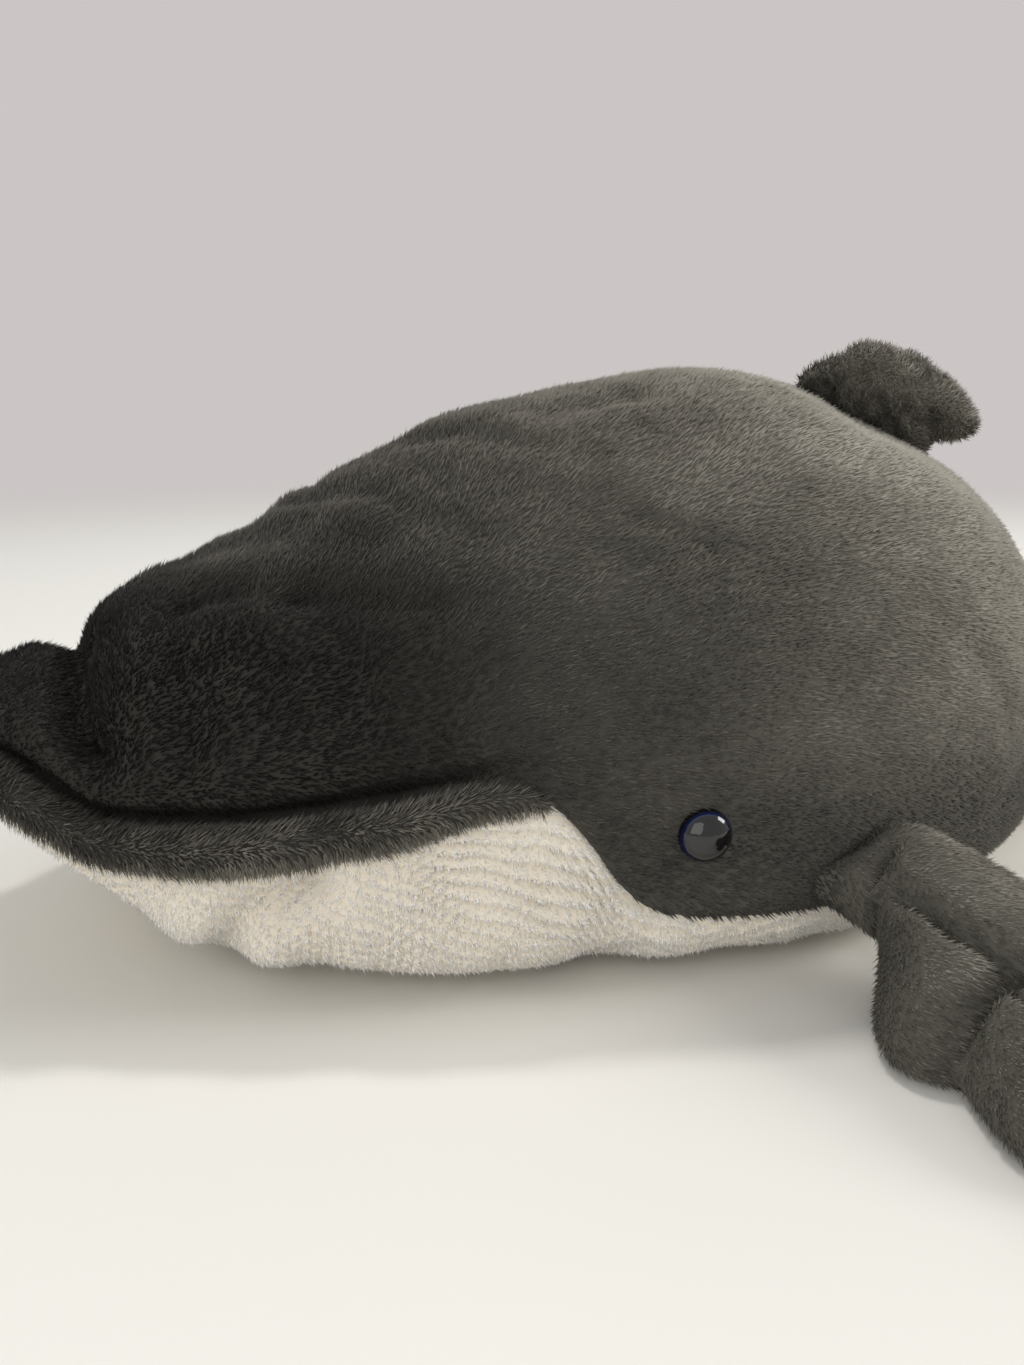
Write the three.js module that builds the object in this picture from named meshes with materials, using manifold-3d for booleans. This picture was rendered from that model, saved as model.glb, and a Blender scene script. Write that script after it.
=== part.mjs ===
// A stuffed plush whale that lies on its belly: sewn covers round fibre filling, with flippers,
// dorsal fin, tail and fluke that bend at their seams.
// Millimetres. The nose points to -Y, the back to +Z and the whale's left side to +X.
// It is drawn with its nose over the origin, and moved at the end so that the origin lies on the
// table under the middle of its length.
import * as THREE from 'three';
import { mergeVertices } from 'three/addons/utils/BufferGeometryUtils.js';
import Module from 'manifold-3d';

const wasm = await Module();
wasm.setup();

// Driving dimensions.

const BODY_LENGTH = 450;        // tip of the nose to the root of the fluke
const BODY_HALF_WIDTH = 110;
const BODY_HEIGHT = 161;
const CLOTH = 3;                // a plush cover: woven backing and lying pile
const CLEARANCE = 0.3;          // between pieces that touch
const FLOOR_SINK = 0.5;         // how deep the table flattens the belly
const OVERRUN = 40;             // how far a cutting solid runs past what it cuts

const LIP_HALF_HEIGHT = 8.5;
const LIP_STAND_OUT = 9;
const LIP_CHIN_SHARE = 0.25;    // of its stand-out, how far its middle lies before the nose

const EYE_RADIUS = 7;
const EYE_DOME_HEIGHT = 5;
const EYE_SUNK = 1;             // how deep its rim lies in the pile
const EYE_RIM = 0.8;
const STEM_RADIUS = 2.5;
const STEM_LENGTH = 11;
const WASHER_RADIUS = 7;
const WASHER_THICKNESS = 2;

const BAG_LENGTH = 150;
const BAG_WIDTH = 110;
const BAG_HEIGHT = 34;

const FLIPPER_LENGTH = 150;
const FLIPPER_FORWARD = 34;     // its root line to the scalloped front edge, between knobs
const FLIPPER_AFT = 29;         // and to the rear edge
const FLIPPER_HALF_THICKNESS = 13;
const FLIPPER_SLOPE = 20;       // degrees, its root rises towards the tail
const FLIPPER_SWEEP = 34;       // how far the tip trails behind the root
const FLIPPER_KNOBS = 4;
const FLIPPER_KNOB_DEPTH = 5;
const FLIPPER_LIFT = 60;        // degrees

const FIN_HEIGHT = 47;
const FIN_HALF_CHORD = 25;
const FIN_HALF_THICKNESS = 10;
const FIN_SWEEP = 13;
const FIN_SLOPE = 28;           // degrees, its root falls with the ridge of the back
const FIN_LEAN = 52;            // degrees, it has flopped over to the left
const FIN_TO_LEFT = 12;         // degrees that it leans further
const FIN_TO_RIGHT = 75;        // degrees that it folds over to the other side

const FLUKE_SET_BACK = 2;       // its axis behind the end of the body
const FLUKE_SPREAD = 92;        // middle of the whale to a tip
const FLUKE_HALF_CHORD = 33;
const FLUKE_HALF_THICKNESS = 11;
const FLUKE_SWEEP = 48;
const FLUKE_TILT = 30;          // degrees up or down

// Where things sit on the body: how far behind the nose as a share of its length, and how high up
// as a share of its height.
const MOUTH_CORNER_SHARE = 0.32;
const EYE_BACK_SHARE = 0.4044;
const EYE_LEVEL_SHARE = 0.2857;
const BAG_BACK_SHARE = 0.5156;
const FLIPPER_BACK_SHARE = 0.5156;
const FLIPPER_LEVEL_SHARE = 0.18;
const FIN_BACK_SHARE = 0.6733;
const TAIL_BACK_SHARE = 0.88;

const GREY = 0x494642;
const CREAM = 0xd9cfbc;
const BLACK = 0x101012;
const FIBRE = 0xf2f1ec;
const PLASTIC = 0xe6e4dc;
const LINEN = 0xc9c2b0;

// The form of the body.

// Each row is one section: how far back it is as a share of the body's length, its half width as a
// share of the widest, and its top, underside and widest level as shares of the height.
const sectionShares = [
  [0, 0.03, 0.42, 0.37, 0.40],
  [0.013, 0.22, 0.475, 0.315, 0.385],
  [0.044, 0.37, 0.505, 0.25, 0.36],
  [0.084, 0.47, 0.525, 0.16, 0.335],
  [0.120, 0.56, 0.61, 0.09, 0.31],
  [0.176, 0.65, 0.69, 0.045, 0.275],
  [0.224, 0.72, 0.75, 0.015, 0.26],
  [0.289, 0.825, 0.845, 0, 0.26],
  [0.358, 0.9, 0.93, 0, 0.27],
  [0.444, 0.98, 0.98, 0, 0.28],
  [0.533, 1, 1, 0, 0.30],
  [0.611, 0.94, 0.985, 0, 0.31],
  [0.689, 0.79, 0.885, 0, 0.31],
  [0.767, 0.60, 0.71, 0.006, 0.285],
  [0.844, 0.44, 0.55, 0.03, 0.26],
  [0.922, 0.32, 0.40, 0.06, 0.225],
  [1, 0.23, 0.28, 0.11, 0.195],
];
const TOP_SQUARENESS = 2.05;
const UNDER_SQUARENESS = 4;

// The seam between grey and cream: how far back as a share of the body's length, and its level as a
// share of the height. It runs inside the lip as far as the mouth's corner, then drops.
const seamShares = [
  [0, 0.40], [0.04, 0.385], [0.064, 0.345], [0.095, 0.29], [0.14, 0.285], [0.178, 0.29],
  [0.24, 0.32], [0.31, 0.365], [0.327, 0.33], [0.344, 0.27], [0.358, 0.21], [0.378, 0.16],
  [0.404, 0.142], [0.464, 0.135], [0.556, 0.115], [0.667, 0.09], [0.767, 0.10], [0.844, 0.15],
  [1, 0.16],
];

const mouthCorner = BODY_LENGTH * MOUTH_CORNER_SHARE;
const eyeBack = BODY_LENGTH * EYE_BACK_SHARE;
const bagBack = BODY_LENGTH * BAG_BACK_SHARE;
const flipperBack = BODY_LENGTH * FLIPPER_BACK_SHARE;
const flipperLevel = BODY_HEIGHT * FLIPPER_LEVEL_SHARE;
const finBack = BODY_LENGTH * FIN_BACK_SHARE;
const tailRoot = BODY_LENGTH * TAIL_BACK_SHARE;
const flukeRoot = BODY_LENGTH + FLUKE_SET_BACK;

const degrees = THREE.MathUtils.degToRad;

/** Places from first to last, both included. */
const spread = (first, last, count) =>
  Array.from({ length: count + 1 }, (_, i) => first + ((last - first) * i) / count);

/** The value of a table's column at a place between its rows, on a curve that never overshoots. */
function smoothColumn(rows, column, place) {
  const last = rows.length - 2;
  let i = 0;
  while (i < last && place > rows[i + 1][0]) i++;
  const slope = (k) => (rows[k + 1][column] - rows[k][column]) / (rows[k + 1][0] - rows[k][0]);
  const tangent = (k) => {
    if (k === 0) return slope(0);
    if (k > last) return slope(last);
    const [before, after] = [slope(k - 1), slope(k)];
    return before * after > 0 ? (2 * before * after) / (before + after) : 0;
  };
  const width = rows[i + 1][0] - rows[i][0];
  const t = THREE.MathUtils.clamp((place - rows[i][0]) / width, 0, 1);
  return (1 + 2 * t) * (1 - t) ** 2 * rows[i][column] + t * (1 - t) ** 2 * width * tangent(i)
    + t * t * (3 - 2 * t) * rows[i + 1][column] + t * t * (t - 1) * width * tangent(i + 1);
}

/** A half width of something soft, drawn in by an inset. It never falls to zero. */
const drawnIn = (size, inset) => size * Math.exp(-inset / size);

/** The body's section at a distance behind the nose, drawn in by inset all round. */
function section(back, inset) {
  const place = back / BODY_LENGTH;
  const half = BODY_HALF_WIDTH * smoothColumn(sectionShares, 1, place);
  const top = BODY_HEIGHT * smoothColumn(sectionShares, 2, place);
  const under = BODY_HEIGHT * smoothColumn(sectionShares, 3, place) - FLOOR_SINK;
  const widest = BODY_HEIGHT * smoothColumn(sectionShares, 4, place);
  return {
    half: drawnIn(half, inset),
    rise: drawnIn(top - widest, inset),
    drop: drawnIn(widest - under, inset),
    widest,
  };
}

// How far from the nose an inset still moves the skin back, as a share of the half width.
const NOSE_ROUND_SHARE = 0.2;

/** A point of the body's form without its folds, and the way straight out from its middle there. */
function bareSkin(back, angle, inset) {
  const { half, rise, drop, widest } = section(back, inset);
  const [across, up] = [Math.cos(angle), Math.sin(angle)];
  const power = up >= 0 ? TOP_SQUARENESS : UNDER_SQUARENESS;
  const reach = (Math.abs(across) ** power + Math.abs(up) ** power) ** (-1 / power);
  const noseRound = inset * Math.max(0, 1 - back / (BODY_HALF_WIDTH * NOSE_ROUND_SHARE));
  const place = new THREE.Vector3(half * reach * across, back + noseRound,
    widest + (up >= 0 ? rise : drop) * reach * up);
  return { place, out: new THREE.Vector3(across, 0, up) };
}

// The main folds of the stuffed skin on the left side, which the right side mirrors. A fold runs from
// one place to another. Each row gives how far back the first is as a share of the length, how far
// round from the side to the ridge as a share of half a turn, the same for the second, how far the
// skin stands out along it, below zero in a crease, and how far away from it that ends, both as
// shares of the height.
const foldShares = [
  [0.084, 0.5, 0.093, 0.14, -0.028, 0.085],      // between bill and forehead
  [0.126, 0.5, 0.13, 0.2, 0.014, 0.09],          // the forehead's front edge
  [0.15, 0.37, 0.21, 0.3, -0.028, 0.085],        // pinches beside the ridge
  [0.189, 0.46, 0.189, 0.4, 0.012, 0.09],
  [0.235, 0.5, 0.285, 0.32, -0.014, 0.085],      // across the ridge behind the forehead
  [0.262, 0.49, 0.262, 0.42, 0.01, 0.08],
  [0.302, 0.466, 0.382, 0.325, -0.01, 0.08],
  [0.396, 0.253, 0.427, 0.216, -0.012, 0.08],    // above the eye
  [0.4, 0.405, 0.445, 0.404, -0.022, 0.08],      // dimples beside the highest part
  [0.158, -0.147, 0.204, -0.14, -0.03, 0.085],   // across the throat
];
const FOLD_STEPS = 8;
const folds = foldShares.map(([back, round, toBack, toRound, standOut, reach]) => ({
  places: spread(0, 1, FOLD_STEPS).map((share) => bareSkin(
    BODY_LENGTH * THREE.MathUtils.lerp(back, toBack, share),
    Math.PI * THREE.MathUtils.lerp(round, toRound, share), 0).place),
  standOut: BODY_HEIGHT * standOut,
  reach: BODY_HEIGHT * reach,
}));

/** How far the folds move a place on the bare form out. */
function foldedOut(place) {
  const left = new THREE.Vector3(Math.abs(place.x), place.y, place.z);
  return folds.reduce((sum, { places, standOut, reach }) => {
    const away = Math.min(...places.map((fold) => fold.distanceTo(left)));
    return sum + standOut * Math.max(0, 1 - (away / reach) ** 2) ** 2;
  }, 0);
}

/** A point of the body's skin. The angle is 0 at the left side and a quarter turn on the ridge. */
function skin(back, angle, inset = 0) {
  const { place, out } = bareSkin(back, angle, inset);
  return place.addScaledVector(out, foldedOut(bareSkin(back, angle, 0).place));
}

/** The angle at which the left side of the skin has a level. */
function angleAtLevel(back, level) {
  const { rise, drop, widest } = section(back, 0);
  const over = level >= widest;
  const power = over ? TOP_SQUARENESS : UNDER_SQUARENESS;
  const share = Math.min(Math.abs(level - widest) / (over ? rise : drop), 1);
  const angle = Math.atan2(share, (1 - share ** power) ** (1 / power));
  return over ? angle : -angle;
}

const seamAngle = (back) =>
  angleAtLevel(back, BODY_HEIGHT * smoothColumn(seamShares, 1, back / BODY_LENGTH));

// How far apart the points lie that show which way the skin faces, as a share of the length and of
// half a turn.
const NEAR_SHARE = 0.0003;

/** The direction that the skin faces at a point of the left side. */
function facing(back, angle) {
  const [step, turn] = [BODY_LENGTH * NEAR_SHARE, Math.PI * NEAR_SHARE];
  const along = skin(back + step, angle).sub(skin(back - step, angle));
  const round = skin(back, angle + turn).sub(skin(back, angle - turn));
  return round.cross(along).negate().normalize();
}

// The sections that covers and fillings are drawn through, closer together towards the nose, and
// where along them the filling of the head ends.
const ROWS = 20;
const HEAD_ROWS = 8;
const CROWDING = 1.25;
const rowBacks = spread(0, 1, ROWS).map((share) => tailRoot * share ** CROWDING);

// How many facets each cover has round the body.
const SIDE_COLUMNS = 8;
const BELLY_COLUMNS = 12;
const QUARTER = Math.PI / 2;

/** The angles of the points round a whole section, with one on each seam. */
function ringAngles(back) {
  const seam = seamAngle(back);
  return [
    ...spread(-2 * QUARTER - seam, seam, BELLY_COLUMNS).slice(1),
    ...spread(seam, QUARTER, SIDE_COLUMNS).slice(1),
    ...spread(QUARTER, 2 * QUARTER - seam, SIDE_COLUMNS).slice(1),
  ];
}

// Solids.

function geometryFrom(points, triangles) {
  const geometry = new THREE.BufferGeometry().setFromPoints(points);
  geometry.setIndex(triangles.flat());
  return geometry;
}

/** A closed solid through rings of equally many points, with a fan at either end. */
function loft(rings) {
  const count = rings[0].length;
  const points = rings.flat();
  const triangles = [];
  for (let i = 0; i < rings.length - 1; i++) {
    for (let j = 0; j < count; j++) {
      const [a, b] = [i * count + j, i * count + ((j + 1) % count)];
      triangles.push([a, b, b + count], [a, b + count, a + count]);
    }
  }
  for (const [row, turned] of [[0, true], [rings.length - 1, false]]) {
    const middle = points.length;
    const ring = rings[row];
    points.push(ring.reduce((sum, p) => sum.add(p), new THREE.Vector3()).divideScalar(count));
    for (let j = 0; j < count; j++) {
      const [a, b] = [row * count + j, row * count + ((j + 1) % count)];
      triangles.push(turned ? [middle, b, a] : [middle, a, b]);
    }
  }
  return outward(geometryFrom(points, triangles));
}

/** A curved panel: rows of points on its outer face, and the matching rows of its inner face. */
function panel(outer, inner) {
  const [rows, columns] = [outer.length, outer[0].length];
  const points = [...outer.flat(), ...inner.flat()];
  const face = rows * columns;
  const triangles = [];
  const quad = (a, b, c, d) => triangles.push([a, b, c], [a, c, d]);
  for (let i = 0; i < rows - 1; i++) {
    for (let j = 0; j < columns - 1; j++) {
      const a = i * columns + j;
      quad(a, a + 1, a + columns + 1, a + columns);
      quad(face + a, face + a + columns, face + a + columns + 1, face + a + 1);
    }
    const [first, last] = [i * columns, i * columns + columns - 1];
    quad(first, first + columns, face + first + columns, face + first);
    quad(last, face + last, face + last + columns, last + columns);
  }
  for (let j = 0; j < columns - 1; j++) {
    const end = (rows - 1) * columns + j;
    quad(j, face + j, face + j + 1, j + 1);
    quad(end, end + 1, face + end + 1, face + end);
  }
  return outward(geometryFrom(points, triangles));
}

/** Turns a closed surface's triangles round when they face inwards. */
function outward(geometry) {
  const [p, index] = [geometry.getAttribute('position'), geometry.getIndex()];
  const corner = (i) => new THREE.Vector3().fromBufferAttribute(p, index.getX(i));
  let volume = 0;
  for (let i = 0; i < index.count; i += 3) {
    volume += corner(i).dot(corner(i + 1).cross(corner(i + 2)));
  }
  if (volume < 0) {
    for (let i = 0; i < index.count; i += 3) {
      const kept = index.getX(i);
      index.setX(i, index.getX(i + 1));
      index.setX(i + 1, kept);
    }
  }
  return geometry;
}

function toManifold(geometry) {
  const bare = geometry.clone();
  bare.deleteAttribute('normal');
  bare.deleteAttribute('uv');
  const merged = mergeVertices(bare);
  return new wasm.Manifold(new wasm.Mesh({
    numProp: 3,
    vertProperties: new Float32Array(merged.getAttribute('position').array),
    triVerts: new Uint32Array(merged.getIndex().array),
  }));
}

/** The geometry of a cut solid, without any crumbs that the cut left beside it. */
function toGeometry(solid) {
  const largest = solid.decompose().sort((a, b) => b.volume() - a.volume())[0];
  const mesh = largest.getMesh();
  const geometry = new THREE.BufferGeometry();
  const places = new Float32Array(mesh.vertProperties);
  geometry.setAttribute('position', new THREE.BufferAttribute(places, 3));
  geometry.setIndex([...mesh.triVerts]);
  return geometry;
}

const cut = (geometry, ...cutters) =>
  toGeometry(cutters.reduce((left, cutter) => left.subtract(cutter), toManifold(geometry)));

/** The body's outline as a solid, through sections at some distances behind the nose. */
const bodySolid = (inset, backs) =>
  loft(backs.map((back) => ringAngles(back).map((angle) => skin(back, angle, inset))));

/** A slab that fills everything below a level. */
function belowLevel(level) {
  const size = 3 * BODY_LENGTH;
  return toManifold(new THREE.BoxGeometry(size, size, size).translate(0, 0, level - size / 2));
}

const SWEEP_STEPS = 6;

/** What a solid covers as it turns about an axis, from one angle in degrees to another. */
function swept(solid, point, axis, from, to, steps) {
  return spread(from, to, steps).reduce((all, angle) => {
    const turn = new THREE.Matrix4().makeTranslation(point)
      .multiply(new THREE.Matrix4().makeRotationAxis(axis, degrees(angle)))
      .multiply(new THREE.Matrix4().makeTranslation(point.clone().negate()));
    const copy = solid.transform([...turn.elements]);
    return all ? all.add(copy) : copy;
  }, null);
}

const group = new THREE.Group();

function add(name, geometry, color, roughness) {
  geometry.computeVertexNormals();
  const material = new THREE.MeshStandardMaterial({ color, roughness, metalness: 0 });
  const mesh = new THREE.Mesh(geometry, material);
  mesh.name = name;
  group.add(mesh);
}

const addPlush = (name, geometry, color = GREY) => add(name, geometry, color, 0.95);
const addFibre = (name, geometry) => add(name, geometry, FIBRE, 1);

const floor = belowLevel(0);
const bodyOutline = toManifold(bodySolid(-CLEARANCE, rowBacks));

// The tail's swivel: a round root in a round hollow.

// The radius of a swivel as a share of the body's half size there.
const SWIVEL_SHARE = 1.25;
const SWIVEL_STEPS = 32;
const tailAxis = new THREE.Vector3(0, tailRoot, 0);
const tailRadius = SWIVEL_SHARE * section(tailRoot, 0).half;

/** An upright post about the tail's axis. */
function tailPost(radius) {
  return toManifold(new THREE.CylinderGeometry(radius, radius, 2 * BODY_HEIGHT, SWIVEL_STEPS)
    .rotateX(QUARTER).translate(tailAxis.x, tailAxis.y, BODY_HEIGHT / 2));
}

const tailHollow = tailPost(tailRadius + CLEARANCE);

// The body's covers.

/** A cover between two seams, which are angles that depend on the distance behind the nose. */
function cover(firstSeam, lastSeam, columns) {
  const faceOf = (inset) => rowBacks.map((back) => {
    const gap = CLEARANCE / 2 / section(back, 0).half;
    const angles = spread(firstSeam(back) + gap, lastSeam(back) - gap, columns);
    return angles.map((angle) => skin(back, angle, inset));
  });
  return panel(faceOf(0), faceOf(CLOTH));
}

/** The place and direction of an eye, 1 for the left and -1 for the right. */
function eyeSeat(side) {
  const angle = angleAtLevel(eyeBack, BODY_HEIGHT * EYE_LEVEL_SHARE);
  const [at, out] = [skin(eyeBack, angle), facing(eyeBack, angle)];
  const mirror = new THREE.Vector3(side, 1, 1);
  return { at: at.multiply(mirror), out: out.multiply(mirror) };
}

/** Moves a shape whose axis is +Y, with its foot at the origin, to an eye's seat. */
function seated(geometry, side, depth) {
  const { at, out } = eyeSeat(side);
  const upright = new THREE.Vector3(0, 1, 0);
  geometry.applyQuaternion(new THREE.Quaternion().setFromUnitVectors(upright, out));
  return geometry.translate(...at.addScaledVector(out, -depth));
}

const ROUND_STEPS = 20;
const DOME_STEPS = 5;
const turned = (points) =>
  new THREE.LatheGeometry(points.map(([r, h]) => new THREE.Vector2(r, h)), ROUND_STEPS);

/** A domed button with its stem, grown all round by a clearance. */
function eyeButton(side, grown = 0) {
  const [radius, height] = [EYE_RADIUS + grown, EYE_DOME_HEIGHT + grown];
  const dome = spread(0, QUARTER, DOME_STEPS).map((angle) =>
    [radius * Math.cos(angle), EYE_RIM + height * Math.sin(angle)]);
  dome[dome.length - 1][0] = 0;
  const foot = -STEM_LENGTH - grown;
  const stem = STEM_RADIUS + grown;
  const outline = [[0, foot], [stem, foot], [stem, -grown], [radius, -grown], ...dome];
  return seated(turned(outline), side, EYE_SUNK);
}

/** The locking washer behind the cloth. */
function eyeWasher(side) {
  const depth = EYE_SUNK + CLOTH + CLEARANCE;
  const [hole, rim] = [STEM_RADIUS + CLEARANCE, WASHER_RADIUS];
  const outline = [[hole, -WASHER_THICKNESS], [rim, -WASHER_THICKNESS], [rim, 0], [hole, 0],
    [hole, -WASHER_THICKNESS]];
  return seated(turned(outline), side, depth);
}

/** The room that stem and washer take in the filling. */
function eyePocket(side) {
  const [radius, length] = [WASHER_RADIUS + CLEARANCE, EYE_SUNK + STEM_LENGTH + CLEARANCE];
  const pocket = new THREE.CylinderGeometry(radius, radius, length + OVERRUN, ROUND_STEPS);
  return toManifold(seated(pocket.translate(0, (OVERRUN - length) / 2, 0), side, 0));
}

function makeBody() {
  const leftSide = cover(seamAngle, () => QUARTER, SIDE_COLUMNS);
  const rightSide = cover(() => QUARTER, (back) => 2 * QUARTER - seamAngle(back), SIDE_COLUMNS);
  const belly = cover((back) => -2 * QUARTER - seamAngle(back), seamAngle, BELLY_COLUMNS);
  addPlush('back_cover_left', cut(leftSide, tailHollow, toManifold(eyeButton(1, CLEARANCE))));
  addPlush('back_cover_right', cut(rightSide, tailHollow, toManifold(eyeButton(-1, CLEARANCE))));
  addPlush('belly_cover', cut(belly, tailHollow, floor), CREAM);
  for (const [name, side] of [['left', 1], ['right', -1]]) {
    add(`eye_${name}`, eyeButton(side), BLACK, 0.08);
    add(`eye_washer_${name}`, eyeWasher(side), PLASTIC, 0.5);
  }
}

// The granule bag and the fillings.

const BAG_STEPS = 20;

/** The pillow whose upper half is the bag: the belly's cloth cuts off its underside. */
function bagPillow(grown) {
  const half = [BAG_WIDTH / 2 + grown, BAG_LENGTH / 2 + grown, BAG_HEIGHT + grown];
  const ball = new THREE.SphereGeometry(1, BAG_STEPS, BAG_STEPS / 2).rotateX(QUARTER);
  return toManifold(ball.scale(...half).translate(0, bagBack, CLOTH));
}

function makeFillings() {
  const inset = CLOTH + CLEARANCE;
  const split = rowBacks[HEAD_ROWS];
  const head = bodySolid(inset, [...rowBacks.slice(0, HEAD_ROWS), split - CLEARANCE]);
  const body = bodySolid(inset, rowBacks.slice(HEAD_ROWS));
  addFibre('head_filling', head);
  addFibre('body_filling', cut(body, tailHollow, bagPillow(CLEARANCE), eyePocket(1), eyePocket(-1)));
  const inside = toManifold(bodySolid(inset, rowBacks));
  add('granule_bag', toGeometry(bagPillow(0).intersect(inside)), LINEN, 0.9);
}

// The lower lip.

// Half the lip, from the chin to the mouth's corner: how far back as a share of the corner's
// distance, and the roll's thickness as a share of its full one.
const lipShares = [[0, 1], [0.14, 1], [0.45, 1], [0.7, 0.9], [0.88, 0.62], [1, 0.25]];
const LIP_FIRST_SHARE = 0.02;
const LIP_STATIONS = 13;
const LIP_COLUMNS = 10;

/** The angles of the points round a limb or a roll. */
const roundAngles = (columns) => spread(0, 2 * Math.PI, columns).slice(0, -1);

/** The middle line of the lip on the left side, with the direction that it faces. */
function lipStation(share) {
  const back = mouthCorner * share;
  const angle = seamAngle(back);
  return {
    at: skin(back, angle),
    out: facing(back, angle).setZ(0).normalize(),
    thick: smoothColumn(lipShares, 1, share),
  };
}

function makeLip() {
  const side = spread(LIP_FIRST_SHARE, 1, LIP_STATIONS).map((share) => lipStation(share ** CROWDING));
  const front = {
    at: new THREE.Vector3(0, -LIP_STAND_OUT * LIP_CHIN_SHARE, side[0].at.z),
    out: new THREE.Vector3(0, -1, 0),
    thick: 1,
  };
  const mirror = new THREE.Vector3(-1, 1, 1);
  const mirrored = side.map(({ at, out, thick }) =>
    ({ at: at.clone().multiply(mirror), out: out.clone().multiply(mirror), thick }));
  const stations = [...mirrored.reverse(), front, ...side];
  const rings = stations.map(({ at, out, thick }) =>
    roundAngles(LIP_COLUMNS).map((angle) => at.clone()
      .addScaledVector(out, LIP_STAND_OUT * thick * Math.cos(angle))
      .add(new THREE.Vector3(0, 0, LIP_HALF_HEIGHT * thick * Math.sin(angle)))));
  addPlush('lower_lip_roll', cut(loft(rings), bodyOutline));
}

// Limbs.

const LIMB_COLUMNS = 12;

/**
 * A flat limb. Each station along it has a middle, a half chord and a half thickness. The limb's own
 * directions are out (root to tip), chord and thick.
 */
function limb(stations, frame, inset) {
  const { root, out, chord, thick } = frame;
  const rings = stations.map(({ along, forward, aft, shift, lift, half }) =>
    roundAngles(LIMB_COLUMNS).map((angle) => {
      const across = Math.cos(angle) * drawnIn(Math.cos(angle) < 0 ? forward : aft, inset);
      const up = Math.sin(angle) * drawnIn(half, inset);
      return root.clone().addScaledVector(out, along).addScaledVector(chord, shift + across)
        .addScaledVector(thick, lift + up);
    }));
  return loft(rings);
}

/** The same stations for what is inside: they stop short of the tip by the inset. */
function shortened(stations, inset) {
  const kept = 1 - inset / stations[stations.length - 1].along;
  return stations.map((station) =>
    ({ ...station, along: Math.min(station.along, station.along * kept) }));
}

/** A limb's cover and filling, cut clear of what they swing against. */
function makeLimb(name, stations, frame, obstacle) {
  const outer = toManifold(limb(stations, frame, 0));
  const inner = toManifold(limb(shortened(stations, CLOTH), frame, CLOTH));
  const coreStations = shortened(stations, CLOTH);
  coreStations[coreStations.length - 1].along -= CLEARANCE;
  const core = toManifold(limb(coreStations, frame, CLOTH + CLEARANCE));
  addPlush(`${name}_cover`, toGeometry(outer.subtract(inner).subtract(obstacle)));
  addFibre(`${name}_filling`, toGeometry(core.subtract(obstacle)));
}

// A flipper's half chord, half thickness and sweep as shares of its full ones, at shares of its
// length. It has no knob at the root, and lies on the table from the settled share on.
const flipperShares = [
  [-0.08, 0.66, 0.4, 0], [0, 0.7, 0.5, 0], [0.08, 0.8, 0.82, 0], [0.2, 0.97, 1, 0.02],
  [0.35, 1, 0.96, 0.12], [0.55, 0.98, 0.85, 0.34], [0.75, 0.84, 0.72, 0.62],
  [0.9, 0.56, 0.55, 0.86], [0.97, 0.3, 0.36, 0.96], [1, 0.1, 0.16, 1],
];
const FLIPPER_STATIONS = 15;
const FIRST_KNOB_SHARE = 0.1;
const SETTLED_SHARE = 0.55;

/** How far a knob of the front edge stands out. */
const knob = (share) => (share < FIRST_KNOB_SHARE ? 0
  : FLIPPER_KNOB_DEPTH * Math.abs(Math.sin(Math.PI * FLIPPER_KNOBS * share)));

function flipperStations() {
  return spread(flipperShares[0][0], 1, FLIPPER_STATIONS).map((share) => {
    const column = (k) => smoothColumn(flipperShares, k, share);
    const half = FLIPPER_HALF_THICKNESS * column(2);
    const settled = THREE.MathUtils.smoothstep(share, 0, SETTLED_SHARE);
    return {
      along: FLIPPER_LENGTH * share,
      forward: FLIPPER_FORWARD * column(1) + knob(share),
      aft: FLIPPER_AFT * column(1),
      shift: FLIPPER_SWEEP * column(3),
      lift: (half + CLEARANCE - flipperLevel) * settled,
      half,
    };
  });
}

/** A flipper's own directions, and its hinge along the upper seam of its root. */
function flipperFrame(side) {
  const root = skin(flipperBack, angleAtLevel(flipperBack, flipperLevel));
  const seam = flipperLevel + FLIPPER_HALF_THICKNESS / 2;
  const hinge = skin(flipperBack, angleAtLevel(flipperBack, seam));
  const mirror = new THREE.Vector3(side, 1, 1);
  const slope = degrees(FLIPPER_SLOPE);
  return {
    root: root.multiply(mirror),
    hinge: hinge.multiply(mirror),
    out: new THREE.Vector3(side, 0, 0),
    chord: new THREE.Vector3(0, 1, 0),
    thick: new THREE.Vector3(0, 0, 1),
    axis: new THREE.Vector3(0, Math.cos(slope), Math.sin(slope)),
  };
}

function makeFlippers() {
  for (const [name, side] of [['left', 1], ['right', -1]]) {
    const frame = flipperFrame(side);
    const obstacle =
      swept(bodyOutline, frame.hinge, frame.axis, 0, side * FLIPPER_LIFT, SWEEP_STEPS);
    makeLimb(`flipper_${name}`, flipperStations(), frame, obstacle.add(floor));
  }
}

// The fin's half chord, half thickness and sweep, as the flipper's.
const finShares = [
  [-0.12, 1, 0.35, 0], [0, 1, 0.45, 0], [0.25, 0.92, 0.95, 0.12], [0.55, 0.8, 1, 0.45],
  [0.8, 0.64, 0.9, 0.85], [0.94, 0.42, 0.62, 1], [1, 0.18, 0.3, 1],
];
const FIN_STATIONS = 9;

/** The stations of a limb that is alike before and behind its middle line, and lies level. */
function evenStations(shares, count, length, halfChord, halfThickness, sweep, foot = 0) {
  return spread(shares[0][0], 1, count).map((share) => {
    const chord = halfChord * smoothColumn(shares, 1, share);
    return {
      along: foot + (length - foot) * share,
      forward: chord,
      aft: chord,
      shift: sweep * smoothColumn(shares, 3, share),
      lift: 0,
      half: halfThickness * smoothColumn(shares, 2, share),
    };
  });
}

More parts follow.
